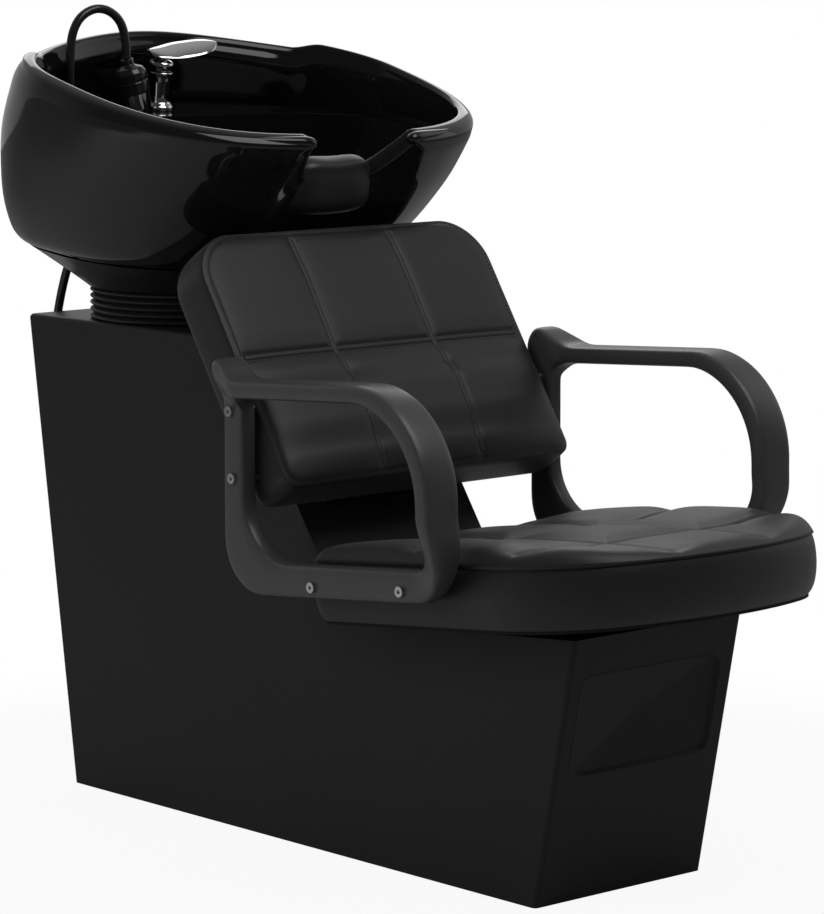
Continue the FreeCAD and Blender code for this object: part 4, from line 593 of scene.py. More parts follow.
@dataclass
class Bowl:
    """Moulded bowl: one skin from the seam up, over the rolled rim and down into the basin."""

    columns: int = 260
    fine: int = 6000
    steps: int = 5
    rear_power: float = 2.0
    front_power: float = 2.85
    notch_half: float = 98.0
    notch_flat: float = 46.0
    notch: Row = (48.0, 64.0, 11.0)
    notch_foot: float = 1.5
    notch_power: float = 2.2
    rear_least: float = 0.3
    rear_full: float = 0.7
    rear_end: Row = (0.74, 0.12)
    horn_reach: float = 0.9
    bulge: Row = (-4.0, 34.0, 0.0)
    seam: Row = (236.0, 165.0, 200.0, 845.0, 740.0, 0.11)
    rim: Row = (305.0, 207.0, 282.0, 745.0, 965.5, 0.268)
    levels: Sequence[Row] = ((0.04, 0.17, 0.2, 0.22), (0.12, 0.40, 0.48, 0.52), (0.30, 0.68, 0.82, 0.86),
                             (0.60, 0.94, 1.0, 0.98), (0.86, 1.03, 0.45, 0.99), (0.945, 1.025, 0.16, 1.0))
    tuck: Sequence[Row] = ((16.0, -1.0), (7.0, 1.0))
    roll: Sequence[Row] = ((0.8, -3.0), (3.0, 2.6), (6.5, 6.0), (11.0, 8.2), (15.0, 9.0), (18.0, 8.0), (20.0, 5.0),
                           (21.2, 0.0), (23.0, -24.0))
    bead: Sequence[Row] = ((190.0, 1.5, 2.0), (160.0, 4.0, 1.5), (130.0, 6.6, 0.8), (104.0, 8.2, 0.2),
                           (92.0, 8.6, -0.6), (86.0, 8.0, -1.6), (82.0, 6.2, -2.8), (79.8, 3.6, -3.8),
                           (79.0, 0.6, -4.2))
    bead_inset: float = 9.0
    bead_steps: int = 6
    bead_turns: int = 24
    wall: float = 10.0
    deck_reach: float = 88.0
    basin: Row = (0.42, 0.70, 0.85, 0.88)
    basin_rear: float = 44.0
    floor: Row = (170.0, 38.0, 120.0, 800.0, 756.0, 0.0, 0.0, 0.0, 0.0, 1.0)
    ledge_shares: Row = (0.0, 0.06, 0.92, 1.0)
    waist_shares: Row = (0.1, 1.0)
    floor_shares: Row = (0.75, 1.0)

    def oval(self, turn: float, half: float, rear: float, front: float) -> Place:
        """Place on a fuller-fronted oval at a turn from its left.

        Args:
            turn: the turn.
            half: half width.
            rear: reach to the rear.
            front: reach to the front.

        Returns:
            The place across and along.
        """
        behind = math.sin(turn) > 0
        across, along = squared(turn, 2 / (self.rear_power if behind else self.front_power))
        return half * across, (rear if behind else front) * along

    def beside_notch(self, px: float, half: float, front: float, edge: float) -> Place:
        """Slides a place along a loop's front so that one column follows the notch's edge.

        Args:
            px: the place across the loop.
            half: the loop's half width.
            front: the loop's reach to the front.
            edge: where the notch starts on this loop.

        Returns:
            The place across and along.
        """
        share, column = abs(px) / half, self.notch_half * self.horn_reach / self.rim[0]
        wide = edge * share / column if share < column else mix(edge, half, (share - column) / (1 - column))
        power = self.front_power
        return math.copysign(wide, px), -front * max(1 - (wide / half) ** power, 0.0) ** (1 / power)

    def turns(self) -> list[float]:
        """Turns whose places lie evenly along the rim.

        Returns:
            The turns.
        """
        fine = [math.tau * (k + 0.5) / self.fine for k in range(self.fine)]
        places = self.loop([*self.rim, *self.notch, 1.0], fine)
        wants = [(k + 0.5) / self.columns for k in range(self.columns)]
        return [mix(fine[span], fine[span + 1], share) for span, share in shares_along(places, wants)]

    def loop(self, row: Row, turns: Sequence[float]) -> list[Vector]:
        """Loop of the skin for one row of sizes.

        Args:
            row: half width, rear, front, station, height, slope, notch dip, notch set-back, rear dip, notch spread.
            turns: the turns round the loop.

        Returns:
            The loop's points.
        """
        half, rear, front, y, z, slope, dip, set_back, rear_dip, spread = row
        points = []
        for turn in turns:
            px, py = self.oval(turn, half, rear, front)
            push = 0.0
            if py < 0:
                px, py = self.beside_notch(px, half, front, self.notch_half * spread)
                across = (abs(px) / spread - self.notch_flat) / (self.notch_half - self.notch_flat)
                notch = 1 - min(max(across, 0.0), 1.0) ** self.notch_power
                drop, push = dip * notch, set_back * notch
            else:
                across, (end, ease) = abs(px) / half, self.rear_end
                drop = (rear_dip * mix(self.rear_least, 1.0, smooth_step(across / self.rear_full))
                        * (1 - smooth_step((across - end) / ease)))
            points.append(spot(px, y + py + push, z + slope * py - drop))
        return points

    def wall_row(self, level: float, full: float, swell: float, notch: float, inset: float = 0.0) -> list[float]:
        """Row of sizes on the wall.

        Args:
            level: share of the way up from the seam to the rim.
            full: share of the way out from the seam to the rim.
            swell: share of the wall's bulge.
            notch: share of the neck notch.
            inset: distance in from the outside.

        Returns:
            The row.
        """
        sizes = [mix(low, high, full) + bulge * swell - inset
                 for low, high, bulge in zip(self.seam[:3], self.rim[:3], self.bulge)]
        places = [mix(low, high, level) for low, high in zip(self.seam[3:], self.rim[3:])]
        return [*sizes, *places, *(size * notch for size in self.notch), mix(self.notch_foot, 1.0, level)]

    def rows(self) -> list[list[float]]:
        """Rows of sizes from the seam to the basin's floor.

        Returns:
            The rows.
        """
        def drawn_in(row: Row, inset: float, rise: float, notch: Row) -> list[float]:
            """Row of sizes set in and raised."""
            return [*(size - inset for size in row[:3]), row[3], row[4] + rise, row[5], *notch]
        tucked = [drawn_in(self.seam, *step, (0.0, 0.0, 0.0, self.notch_foot)) for step in self.tuck]
        outside = [self.wall_row(*level) for level in self.levels]
        rolled = [drawn_in(self.rim, *step, (*self.notch, self.horn_reach)) for step in self.roll]
        inside = self.wall_row(*self.levels[-2], self.wall)
        deck = [*inside[2:4], DECK_HEIGHT, DECK_SLOPE, *inside[6:8], 0.0, inside[9]]
        wall, edge = [*inside[:2], *deck], [inside[0] - self.wall, self.deck_reach, *deck]
        waist = self.wall_row(*self.basin, self.wall + self.bulge[1] / 4)
        waist = [waist[0], self.basin_rear, *waist[2:8], 0.0, waist[9]]
        lower = [*between(wall, edge, self.ledge_shares), *between(edge, waist, self.waist_shares),
                 *between(waist, self.floor, self.floor_shares)]
        return through([*tucked, *outside, *rolled, *lower], self.steps)

    def horn(self, side: Side) -> bpy.types.Object:
        """Round bead that swells along the rim and ends as the horn's blunt tip.

        Args:
            side: which horn.

        Returns:
            The bead.
        """
        half, front, y, z, slope = self.rim[0], *self.rim[2:]
        rows = []
        for x, radius, drop in self.bead:
            py = -(front - self.bead_inset) * (1 - (x / half) ** self.front_power) ** (1 / self.front_power)
            rows.append([side.value * x, y + py, z + slope * py + drop, radius])
        loops = []
        run = through(rows, self.bead_steps)
        for before, here, after in zip([run[0], *run[:-1]], run, [*run[1:], run[-1]]):
            along = (Vector(after[:3]) - Vector(before[:3])).normalized()
            across = along.cross(UP).normalized()
            lift, centre = across.cross(along), Vector(here[:3])
            loops.append([spot(*(centre + (across * math.cos(t) + lift * math.sin(t)) * here[3]))
                          for t in turns_of(self.bead_turns)])
        return dress(skin("horn_" + side.name.lower(), loops), GLAZE, Body.BOWL, "bowl")

    def build(self) -> bpy.types.Object:
        """Builds the horns and the bowl.

        Returns:
            The bowl.
        """
        turns = self.turns()
        loops = [self.loop(row, turns) for row in self.rows()]
        for side in Side:
            self.horn(side)
        return dress(skin("bowl", loops), GLAZE, Body.BOWL, "bowl", "bowl_shell")


@dataclass
class NeckRest:
    """Soft gel saddle draped over the lip of the neck notch."""

    half: float = 70.0
    flare: float = 0.2
    thick: float = 21.0
    reach: float = 39.0
    lean: float = 25.0
    station: float = 545.0
    height: float = 832.0
    rise: float = 5.0
    squareness: float = 3.0
    taper_powers: Row = (4.5, 0.4)
    taper_least: float = 0.04
    taper_along: float = 0.35
    across: int = 48
    around: int = 56

    def build(self) -> bpy.types.Object:
        """Builds the saddle.

        Returns:
            The piece.
        """
        lean, (end, ease) = math.radians(self.lean), self.taper_powers
        run, out = Vector((0, math.sin(lean), -math.cos(lean))), Vector((0, -math.cos(lean), -math.sin(lean)))
        loops = []
        for k in range(self.across + 1):
            t = math.sin(math.pi * (k / self.across - 0.5))
            taper = max((1 - abs(t) ** end) ** ease, self.taper_least)
            centre = spot(self.half * t, self.station, self.height + self.rise * t * t)
            loop = []
            for turn in turns_of(self.around):
                down, off = squared(turn, 2 / self.squareness)
                down *= mix(taper, 1.0, self.taper_along)
                wider = Vector((self.half * t * self.flare * down, 0.0, 0.0))
                loop.append(centre + (wider + run * down * self.reach + out * off * self.thick * taper) / PER_METRE)
            loops.append(loop)
        piece = dress(skin("neck_saddle", loops), GEL, Body.BOWL, "rubber", "neck_rest")
        return piece


@dataclass
class Bellows:
    """Ribbed boot that joins the tower to the bowl's lower cover."""

    station: float = 820.0
    foot: float = 640.0
    top: float = 684.0
    ribs: int = 5
    rib_steps: int = 12
    rib_power: float = 0.6
    crest: float = 142.0
    root: float = 130.0
    bore: float = 123.0
    around: int = 120

    def build(self) -> bpy.types.Object:
        """Builds the boot and lets it bend with the tilt.

        Returns:
            The boot.
        """
        steps = self.ribs * self.rib_steps
        rows = [(self.bore, self.foot)]
        for k in range(steps + 1):
            swell = abs(math.sin(math.pi * self.ribs * k / steps)) ** self.rib_power
            rows.append((mix(self.root, self.crest, swell), mix(self.foot, self.top, k / steps)))
        rows.append((self.bore, self.top))
        piece = skin("boot", round_loops(rows, self.station, self.around), ends=False, wrap=True)
        return dress_bending(piece, RUBBER, "bellows")


@dataclass
class DrainPipe:
    """Flexible waste pipe inside the tower, which bends with the bowl."""

    station: float = 800.0
    foot: float = 150.0
    bend: float = 420.0
    top: float = 717.0
    radius: float = 23.0
    groove: float = 1.4
    steps: int = 240
    rib_steps: int = 4
    around: int = 36

    def build(self) -> bpy.types.Object:
        """Builds the pipe.

        Returns:
            The pipe.
        """
        rows = []
        for k in range(self.steps + 1):
            sunk = 0.5 + 0.5 * math.cos(math.tau * k / self.rib_steps)
            rows.append((self.radius - self.groove * sunk, mix(self.foot, self.top, k / self.steps)))
        piece = skin("waste_pipe_run", round_loops(rows, self.station, self.around), ends=False)
        return dress_bending(piece, PIPE, "drain_hose")


# Upholstery

@dataclass
class Stitching:
    """Short raised stitches along sewn lines."""

    pitch: float = 0.0056
    length: float = 0.0042
    radius: float = 0.00045
    full: float = 0.3
    sides: int = 4

    def run(self, bm: bmesh.types.BMesh, points: Sequence[Vector], out: Vector) -> None:
        """Adds the stitches of one line.

        Args:
            bm: surface that collects them.
            points: the line.
            out: outward direction.
        """
        left = self.pitch / 2
        for a, b in zip(points[:-1], points[1:]):
            span = (b - a).length
            if span < 1e-7:
                continue
            along = (b - a) / span
            while left <= span:
                self.stitch(bm, a + along * left, along, out)
                left += self.pitch
            left -= span

    def stitch(self, bm: bmesh.types.BMesh, at: Vector, along: Vector, out: Vector) -> None:
        """Adds one stitch: a thin bar with pointed ends, half sunk.

        Args:
            bm: surface that collects it.
            at: its middle.
            along: its direction.
            out: outward direction.
        """
        across = along.cross(out).normalized()
        rings = []
        for share in (-self.full, self.full):
            centre = at + along * share * self.length
            rings.append([bm.verts.new(centre + (across * math.cos(t) + out * math.sin(t)) * self.radius)
                          for t in turns_of(self.sides)])
        tips = [bm.verts.new(at + along * s * self.length / 2 - out * self.radius) for s in (-1, 1)]
        for k in range(self.sides):
            n = (k + 1) % self.sides
            bm.faces.new((rings[0][k], rings[0][n], rings[1][n], rings[1][k]))
            bm.faces.new((tips[0], rings[0][n], rings[0][k]))
            bm.faces.new((tips[1], rings[1][k], rings[1][n]))


@dataclass
class Cushion:
    """Sewn cushion in its own frame: a banded side, a seam and a channelled face."""

    name: str
    node: str
    frame_of: Matrix
    channel_x: float
    channel_v: tuple[float, ...]
    groove: float
    groove_width: float
    pillow: float
    pillow_width: float
    points: int = 420
    rings: int = 64
    ring_power: float = 1.15
    side_steps: int = 3
    seam_inset: float = 1.5
    seam_fade: float = 24.0
    seam_rise: float = 9.0

    def outline(self, inset: float) -> list[Vector]:
        """Plan outline drawn in by an inset, evenly spaced."""
        raise NotImplementedError

    def centre(self) -> Vector:
        """Middle of the face."""
        raise NotImplementedError

    def crown(self, x: float, v: float) -> float:
        """Height of the face above the seam before sewing."""
        raise NotImplementedError

    def sides(self) -> Sequence[Row]:
        """(inset, height) rows from the rear up to the seam."""
        raise NotImplementedError

    def lines(self) -> list[list[Vector]]:
        """Sewn lines with stitches on the face; none unless the cushion has them."""
        return []

    def mirrored(self, side: Sequence[Place], rear: float) -> list[Vector]:
        """Closed outline, evenly spaced, from its left half and the place where that ends behind."""
        whole = [*side, (0.0, rear), *((-x, y) for x, y in side[:0:-1])]
        return even([Vector((x, y, 0.0)) for x, y in whole], self.points)

    def sewn(self, x: float, v: float, edge: float) -> float:
        """How far the sewing pulls the face down.

        Args:
            x: place across.
            v: place along.
            edge: distance in from the seam.

        Returns:
            The pull, in millimetres.
        """
        gaps = [abs(abs(x) - self.channel_x)] + [abs(v - line) for line in self.channel_v]
        pull = max(self.groove * bell(gap, self.groove_width) + self.pillow * bell(gap, self.pillow_width)
                   for gap in gaps)
        return pull * smooth_step(edge / self.seam_fade)

    def face(self, x: float, v: float, edge: float) -> Vector:
        """Point of the face in the row frame.

        Args:
            x: place across.
            v: place along.
            edge: distance in from the seam.

        Returns:
            The point.
        """
        rim = 1 - math.exp(-edge / self.seam_rise)
        height = (self.crown(x, v) + self.pillow) * rim - self.sewn(x, v, edge)
        return self.frame_of @ metres(x, v, height)

    def loops(self) -> list[list[Vector]]:
        """Loops from the rear, up the sides and over the face to its middle.

        Returns:
            The loops.
        """
        found = [[self.frame_of @ metres(p.x, p.y, height) for p in self.outline(inset)]
                 for inset, height in through(self.sides(), self.side_steps)]
        border, middle = self.outline(self.seam_inset), self.centre()
        for k in range(self.rings):
            share = 1 - (k / self.rings) ** self.ring_power
            loop = []
            for p in border:
                at = middle + (p - middle) * share
                loop.append(self.face(at.x, at.y, (p - at).length))
            found.append(loop)
        return found

    def outward(self) -> Vector:
        """Direction in which the face looks."""
        return (self.frame_of.to_3x3() @ UP).normalized()

    def stitch_lines(self) -> None:
        """Stitches along the sewn lines of the face, as one piece."""
        bm, maker = bmesh.new(), Stitching()
        for line in self.lines():
            maker.run(bm, line, self.outward())
        dress(mesh_object(self.name + "_stitches", bm), THREAD, Body.BASE, "upholstery")

    def build(self) -> bpy.types.Object:
        """Builds the cushion and its stitches.

        Returns:
            The cushion.
        """
        piece = dress(skin(self.name, self.loops()), HIDE, Body.BASE, "upholstery", self.node)
        if self.lines():
            self.stitch_lines()
        return piece


@dataclass
class SeatCushion(Cushion):
    """Seat with a bowed front, tilted with its front up; its channels are drawn down from below, without stitches."""

    half: float = 244.0
    front: float = -200.0
    rear: float = 302.0
    corner: float = 150.0
    bow: float = 420.0
    rear_corner: float = 30.0
    rear_least: float = 7.0
    seam: float = 77.0
    rise: float = 15.0
    fall: float = 0.3
    ends: float = 0.35
    end_power: float = 0.7
    roll: float = 9.0
    roll_span: Row = (120.0, 80.0)
    profile: Sequence[Row] = ((24.0, 0.0), (17.0, 1.0), (10.0, 5.5), (4.6, 15.0), (1.4, 28.0), (0.0, 42.0), (0.2, 55.0),
                              (1.4, 66.0), (3.2, 73.0), (4.6, 75.8), (4.2, 77.0))

    def outline(self, inset: float) -> list[Vector]:
        """Plan of lines and tangent arcs, from the front middle to the left and round.

        Args:
            inset: distance in from the edge.

        Returns:
            The plan's points.
        """
        half, front, rear = self.half - inset, self.front + inset, self.rear - inset
        corner, bow = self.corner - inset, self.bow - inset
        back = max(self.rear_corner - inset, self.rear_least)
        bow_y, corner_x = front + bow, half - corner
        corner_y = bow_y - math.sqrt((bow - corner) ** 2 - corner_x ** 2)
        lean = math.atan2(corner_x, bow_y - corner_y)
        ahead = -math.pi / 2
        side = [*round_run((0.0, bow_y), bow, ahead, lean, 30),
                *round_run((corner_x, corner_y), corner, lean + ahead, -lean - ahead, 40),
                *line_run((half, corner_y), (half, rear - back), 40),
                *round_run((half - back, rear - back), back, 0.0, math.pi / 2, 20),
                *line_run((half - back, rear), (0.0, rear), 30)]
        return self.mirrored(side, rear)

    def centre(self) -> Vector:
        """Middle of the face."""
        return Vector((0.0, (self.front + self.rear) / 2, 0.0))

    def crown(self, x: float, v: float) -> float:
        """Gentle crown along the seat, with a fuller roll on each side.

        Args:
            x: place across.
            v: place along.

        Returns:
            The height, in millimetres.
        """
        share = min(max((v - self.front) / (self.rear - self.front), 0.0), 1.0)
        along = mix(self.ends, 1.0, math.sin(math.pi * share) ** self.end_power)
        start, width = self.roll_span
        across = self.rise * (1 - (x / self.half) ** 2 * self.fall)
        return (across + self.roll * smooth_step((abs(x) - start) / width)) * along

    def sides(self) -> Sequence[Row]:
        """Round bottom edge, full side and the seam's nip; heights count from the seam."""
        return [(inset, height - self.seam) for inset, height in self.profile]


@dataclass
class BackCushion(Cushion):
    """Reclined back with a lumbar ridge under its crease."""

    half: float = 245.0
    length: float = 356.0
    top_corner: float = 66.0
    foot_corner: float = 22.0
    corner_least: float = 5.0
    side_ease: float = 0.55
    side_power: float = 4.0
    border: float = 11.0
    ridge: Sequence[Row] = ((0.0, 11.0), (40.0, 17.0), (84.0, 23.0), (118.0, 24.0), (152.0, 14.0), (181.0, 7.0),
                            (216.0, 8.0), (280.0, 9.0), (330.0, 7.0), (356.0, 4.0))
    profile: Sequence[Row] = ((12.0, -64.0), (6.0, -62.5), (2.4, -58.0), (0.6, -48.0), (0.0, -32.0), (0.3, -16.0),
                              (0.9, -6.0), (1.8, -2.0), (2.2, -0.6), (1.9, 0.0))
    strip: Sequence[Row] = ((-5.4, -1.4), (-4.4, 1.0), (-2.4, 2.2), (0.0, 2.6), (2.4, 2.2), (4.4, 1.0), (5.4, -1.4))
    strip_inset: float = 15.0
    strip_steps: int = 100
    nip: Row = (1.7, 6.5, 2.4)
    stitch_gap: float = 8.0
    stitch_inset: float = 14.0
    stitch_edge: float = 60.0
    stitch_steps: int = 90

    def outline(self, inset: float) -> list[Vector]:
        """Round-cornered plan, from the foot's middle to the left and round.

        Args:
            inset: distance in from the edge.

        Returns:
            The plan's points.
        """
        half, low, high = self.half - inset, inset, self.length - inset
        foot, top = (max(corner - inset, self.corner_least) for corner in (self.foot_corner, self.top_corner))
        quarter = math.pi / 2
        side = [*line_run((0.0, low), (half - foot, low), 40),
                *round_run((half - foot, low + foot), foot, -quarter, quarter, 16),
                *line_run((half, low + foot), (half, high - top), 40),
                *round_run((half - top, high - top), top, 0.0, quarter, 32),
                *line_run((half - top, high), (0.0, high), 30)]
        return self.mirrored(side, high)

    def centre(self) -> Vector:
        """Middle of the face."""
        return Vector((0.0, self.length / 2, 0.0))

    def crown(self, x: float, v: float) -> float:
        """Ridge profile up the back, easing off to the sides.

        Args:
            x: place across.
            v: place along.

        Returns:
            The height, in millimetres.
        """
        height = self.ridge[-1][1]
        for (v0, h0), (v1, h1) in zip(self.ridge[:-1], self.ridge[1:]):
            if v <= v1:
                height = mix(h0, h1, smooth_step((v - v0) / (v1 - v0)))
                break
        return height * (1 - (x / self.half) ** self.side_power * self.side_ease)

    def sides(self) -> Sequence[Row]:
        """Flat rear, full side and the seam's nip."""
        return self.profile

    def sewn(self, x: float, v: float, edge: float) -> float:
        """How far the sewing pulls the face down, the border's nip included."""
        depth, place, width = self.nip
        return super().sewn(x, v, edge) + depth * bell(edge - place, width)

    def channels(self, gap: float, inset: float, steps: int) -> list[list[Place]]:
        """Runs of places along the channels, the upright ones first.

        Args:
            gap: distance to one side of each channel.
            inset: where a run starts and ends, in from the edge.
            steps: spans in each run.

        Returns:
            The runs.
        """
        shares = [k / steps for k in range(steps + 1)]
        runs = [[(side * self.channel_x + gap, mix(inset, self.length - inset, share)) for share in shares]
                for side in (-1, 1)]
        return runs + [[(mix(inset - self.half, self.half - inset, share), v + gap) for share in shares]
                       for v in self.channel_v]

    def strips(self) -> None:
        """Narrow sewn strips that lie in the channels of the back, as one piece."""
        turn, out = self.frame_of.to_3x3(), self.outward()
        bm = bmesh.new()
        for run in self.channels(0.0, self.strip_inset, self.strip_steps):
            upright = run[0][0] == run[-1][0]
            across = turn @ Vector((1, 0, 0) if upright else (0, 1, 0))
            rings = []
            for x, v in run:
                edge = min(self.half - abs(x), v, self.length - v)
                base, fade = self.face(x, v, edge), smooth_step(edge / self.seam_fade)
                rings.append([bm.verts.new(base + (across * u + out * (h * fade)) / PER_METRE) for u, h in self.strip])
            for a, b in zip(rings[:-1], rings[1:]):
                for k in range(len(self.strip) - 1):
                    bm.faces.new((a[k], b[k], b[k + 1], a[k + 1]) if upright else (a[k], a[k + 1], b[k + 1], b[k]))
        dress(mesh_object("back_strips", bm), HIDE, Body.BASE, "upholstery")

    def lines(self) -> list[list[Vector]]:
        """A pair of stitch lines beside each channel of the back, and one along its border.

        Returns:
            The lines.
        """
        found = [[self.face(x, v, self.stitch_edge) for x, v in run] for gap in (-self.stitch_gap, self.stitch_gap)
                 for run in self.channels(gap, self.stitch_inset, self.stitch_steps)]
        border = [self.face(p.x, p.y, self.border) for p in self.outline(self.border)]
        return [*found, border + border[:1]]

    def build(self) -> bpy.types.Object:
        """Builds the back with its strips.

        Returns:
            The cushion.
        """
        self.strips()
        return super().build()


# Arms and pedestal

@dataclass(frozen=True)
class ArmSpan:
    """One span of a loop arm: its steps, where its outer and inner edges start, and the places their arcs pass."""

    steps: int
    width: Place
    outer: Place
    inner: Place
    outer_by: Place | None = None
    inner_by: Place | None = None

    def edges(self, after: "ArmSpan") -> list[tuple[Place, Place]]:
        """Pairs of places on the outer and inner edge, up to the next span.

        Args:
            after: the next span.

        Returns:
            The pairs.
        """
        runs = []
        for start, by, end in ((self.outer, self.outer_by, after.outer), (self.inner, self.inner_by, after.inner)):
            runs.append(arc_run(start, by, end, self.steps) if by else line_run(start, end, self.steps))
        return list(zip(*runs))


# Inner and outer face of a loop arm's wide band, its flat legs and the neck between them
BAND, LEG, NECK = (256.0, 310.0), (249.0, 275.0), (251.0, 295.0)


@dataclass
class LoopArm:
    """Moulded loop arm: a wide band above and in front, flat legs below and behind."""

    side: Side
    node: str
    around: int = 28
    squareness: float = 5.0
    passes: int = 3
    spans: Sequence[ArmSpan] = (
        ArmSpan(30, BAND, (369.5, 617.0), (365.0, 594.5)),
        ArmSpan(26, BAND, (128.5, 632.0), (136.5, 609.0), (42.5, 589.0), (62.5, 573.0)),
        ArmSpan(18, BAND, (9.5, 483.0), (32.5, 483.0), (15.0, 417.0), (37.5, 437.5)),
        ArmSpan(30, LEG, (54.0, 377.5), (67.0, 415.0)),
        ArmSpan(14, LEG, (361.5, 348.0), (313.5, 393.0), (405.5, 368.0), (362.0, 413.0)),
        ArmSpan(18, LEG, (423.5, 414.0), (387.0, 460.0)),
        ArmSpan(10, LEG, (423.0, 592.0), (387.5, 572.0), (434.0, 624.0), (385.0, 584.0)),
        ArmSpan(8, NECK, (419.0, 641.5), (379.0, 590.0), (393.5, 629.0)))

    def stations(self) -> list[list[float]]:
        """(outer y, outer z, inner y, inner z, inner x, outer x) rows round the loop.

        Returns:
            The rows.
        """
        found = []
        for span, after in zip(self.spans, [*self.spans[1:], self.spans[0]]):
            for k, (outer, inner) in enumerate(span.edges(after)):
                share = smooth_step(k / span.steps)
                found.append([*outer, *inner, *(mix(a, b, share) for a, b in zip(span.width, after.width))])
        return found

    def eased(self, rows: list[list[float]]) -> list[list[float]]:
        """Closed run of rows with its kinks eased out.

        Args:
            rows: the run.

        Returns:
            The eased run.
        """
        count = len(rows)
        for _ in range(self.passes):
            rows = [[0.25 * a + 0.5 * b + 0.25 * c for a, b, c in zip(rows[k - 1], rows[k], rows[(k + 1) % count])]
                    for k in range(count)]
        return rows

    def build(self) -> bpy.types.Object:
        """Builds the arm.

        Returns:
            The arm.
        """
        ring = [squared(turn, 2 / self.squareness) for turn in turns_of(self.around)]
        loops = []
        for oy, oz, iy, iz, x0, x1 in self.eased(self.stations()):
            loops.append([spot(self.side.value * (mix(x0, x1, 0.5) + a * (x1 - x0) / 2), mix(iy, oy, 0.5 + b / 2),
                               mix(iz, oz, 0.5 + b / 2)) for a, b in ring])
        name = "arm_loop_" + self.side.name.lower()
        return dress(skin(name, loops, ends=False, wrap=True), ARM, Body.BASE, "arm", self.node)


@dataclass
class RecessDish:
    """Four-sided dish in the recess of the pedestal's front, with a thin moulded lip."""

    foot: Row = (0.0, 0.0)
    head: Row = (-66.0, 335.0)
    up: float = 228.0
    half_width: float = 113.5
    half_height: float = 61.8
    step: float = 4.6
    dish: float = 11.0
    hollow: float = 1.2
    thick: float = 1.2
    squareness: float = 12.0
    around: int = 160
    rings: int = 40
    lip: Sequence[Row] = ((1.068, 0.8), (1.068, -0.05), (1.058, -0.35), (1.045, -0.15), (1.030, 0.7), (1.014, 2.2))

    def build(self) -> bpy.types.Object:
        """Builds the face as a thin shell.

        Returns:
            The piece.
        """
        run = Vector((0.0, self.head[0] - self.foot[0], self.head[1] - self.foot[1])).normalized()
        out = Vector((1.0, 0.0, 0.0)).cross(run)
        centre = spot(0.0, *self.foot) + run * self.up / PER_METRE
        border = [(self.half_width * a, self.half_height * b)
                  for a, b in (squared(turn, 2 / self.squareness) for turn in turns_of(self.around))]
        shares = [k / self.rings for k in range(1, self.rings + 1)]
        face = [(share, self.step + self.dish * (1 - share ** self.hollow)) for share in shares]
        rows = [*((share, depth + self.thick) for share, depth in face), *self.lip, *face[::-1]]
        loops = [[centre + (Vector((x * share, 0.0, 0.0)) + run * y * share - out * depth) / PER_METRE
                  for x, y in border] for share, depth in rows]
        return dress(skin("recess_face", loops), PEDESTAL, Body.BASE, "pedestal")


# Tap, sprayer and hoses

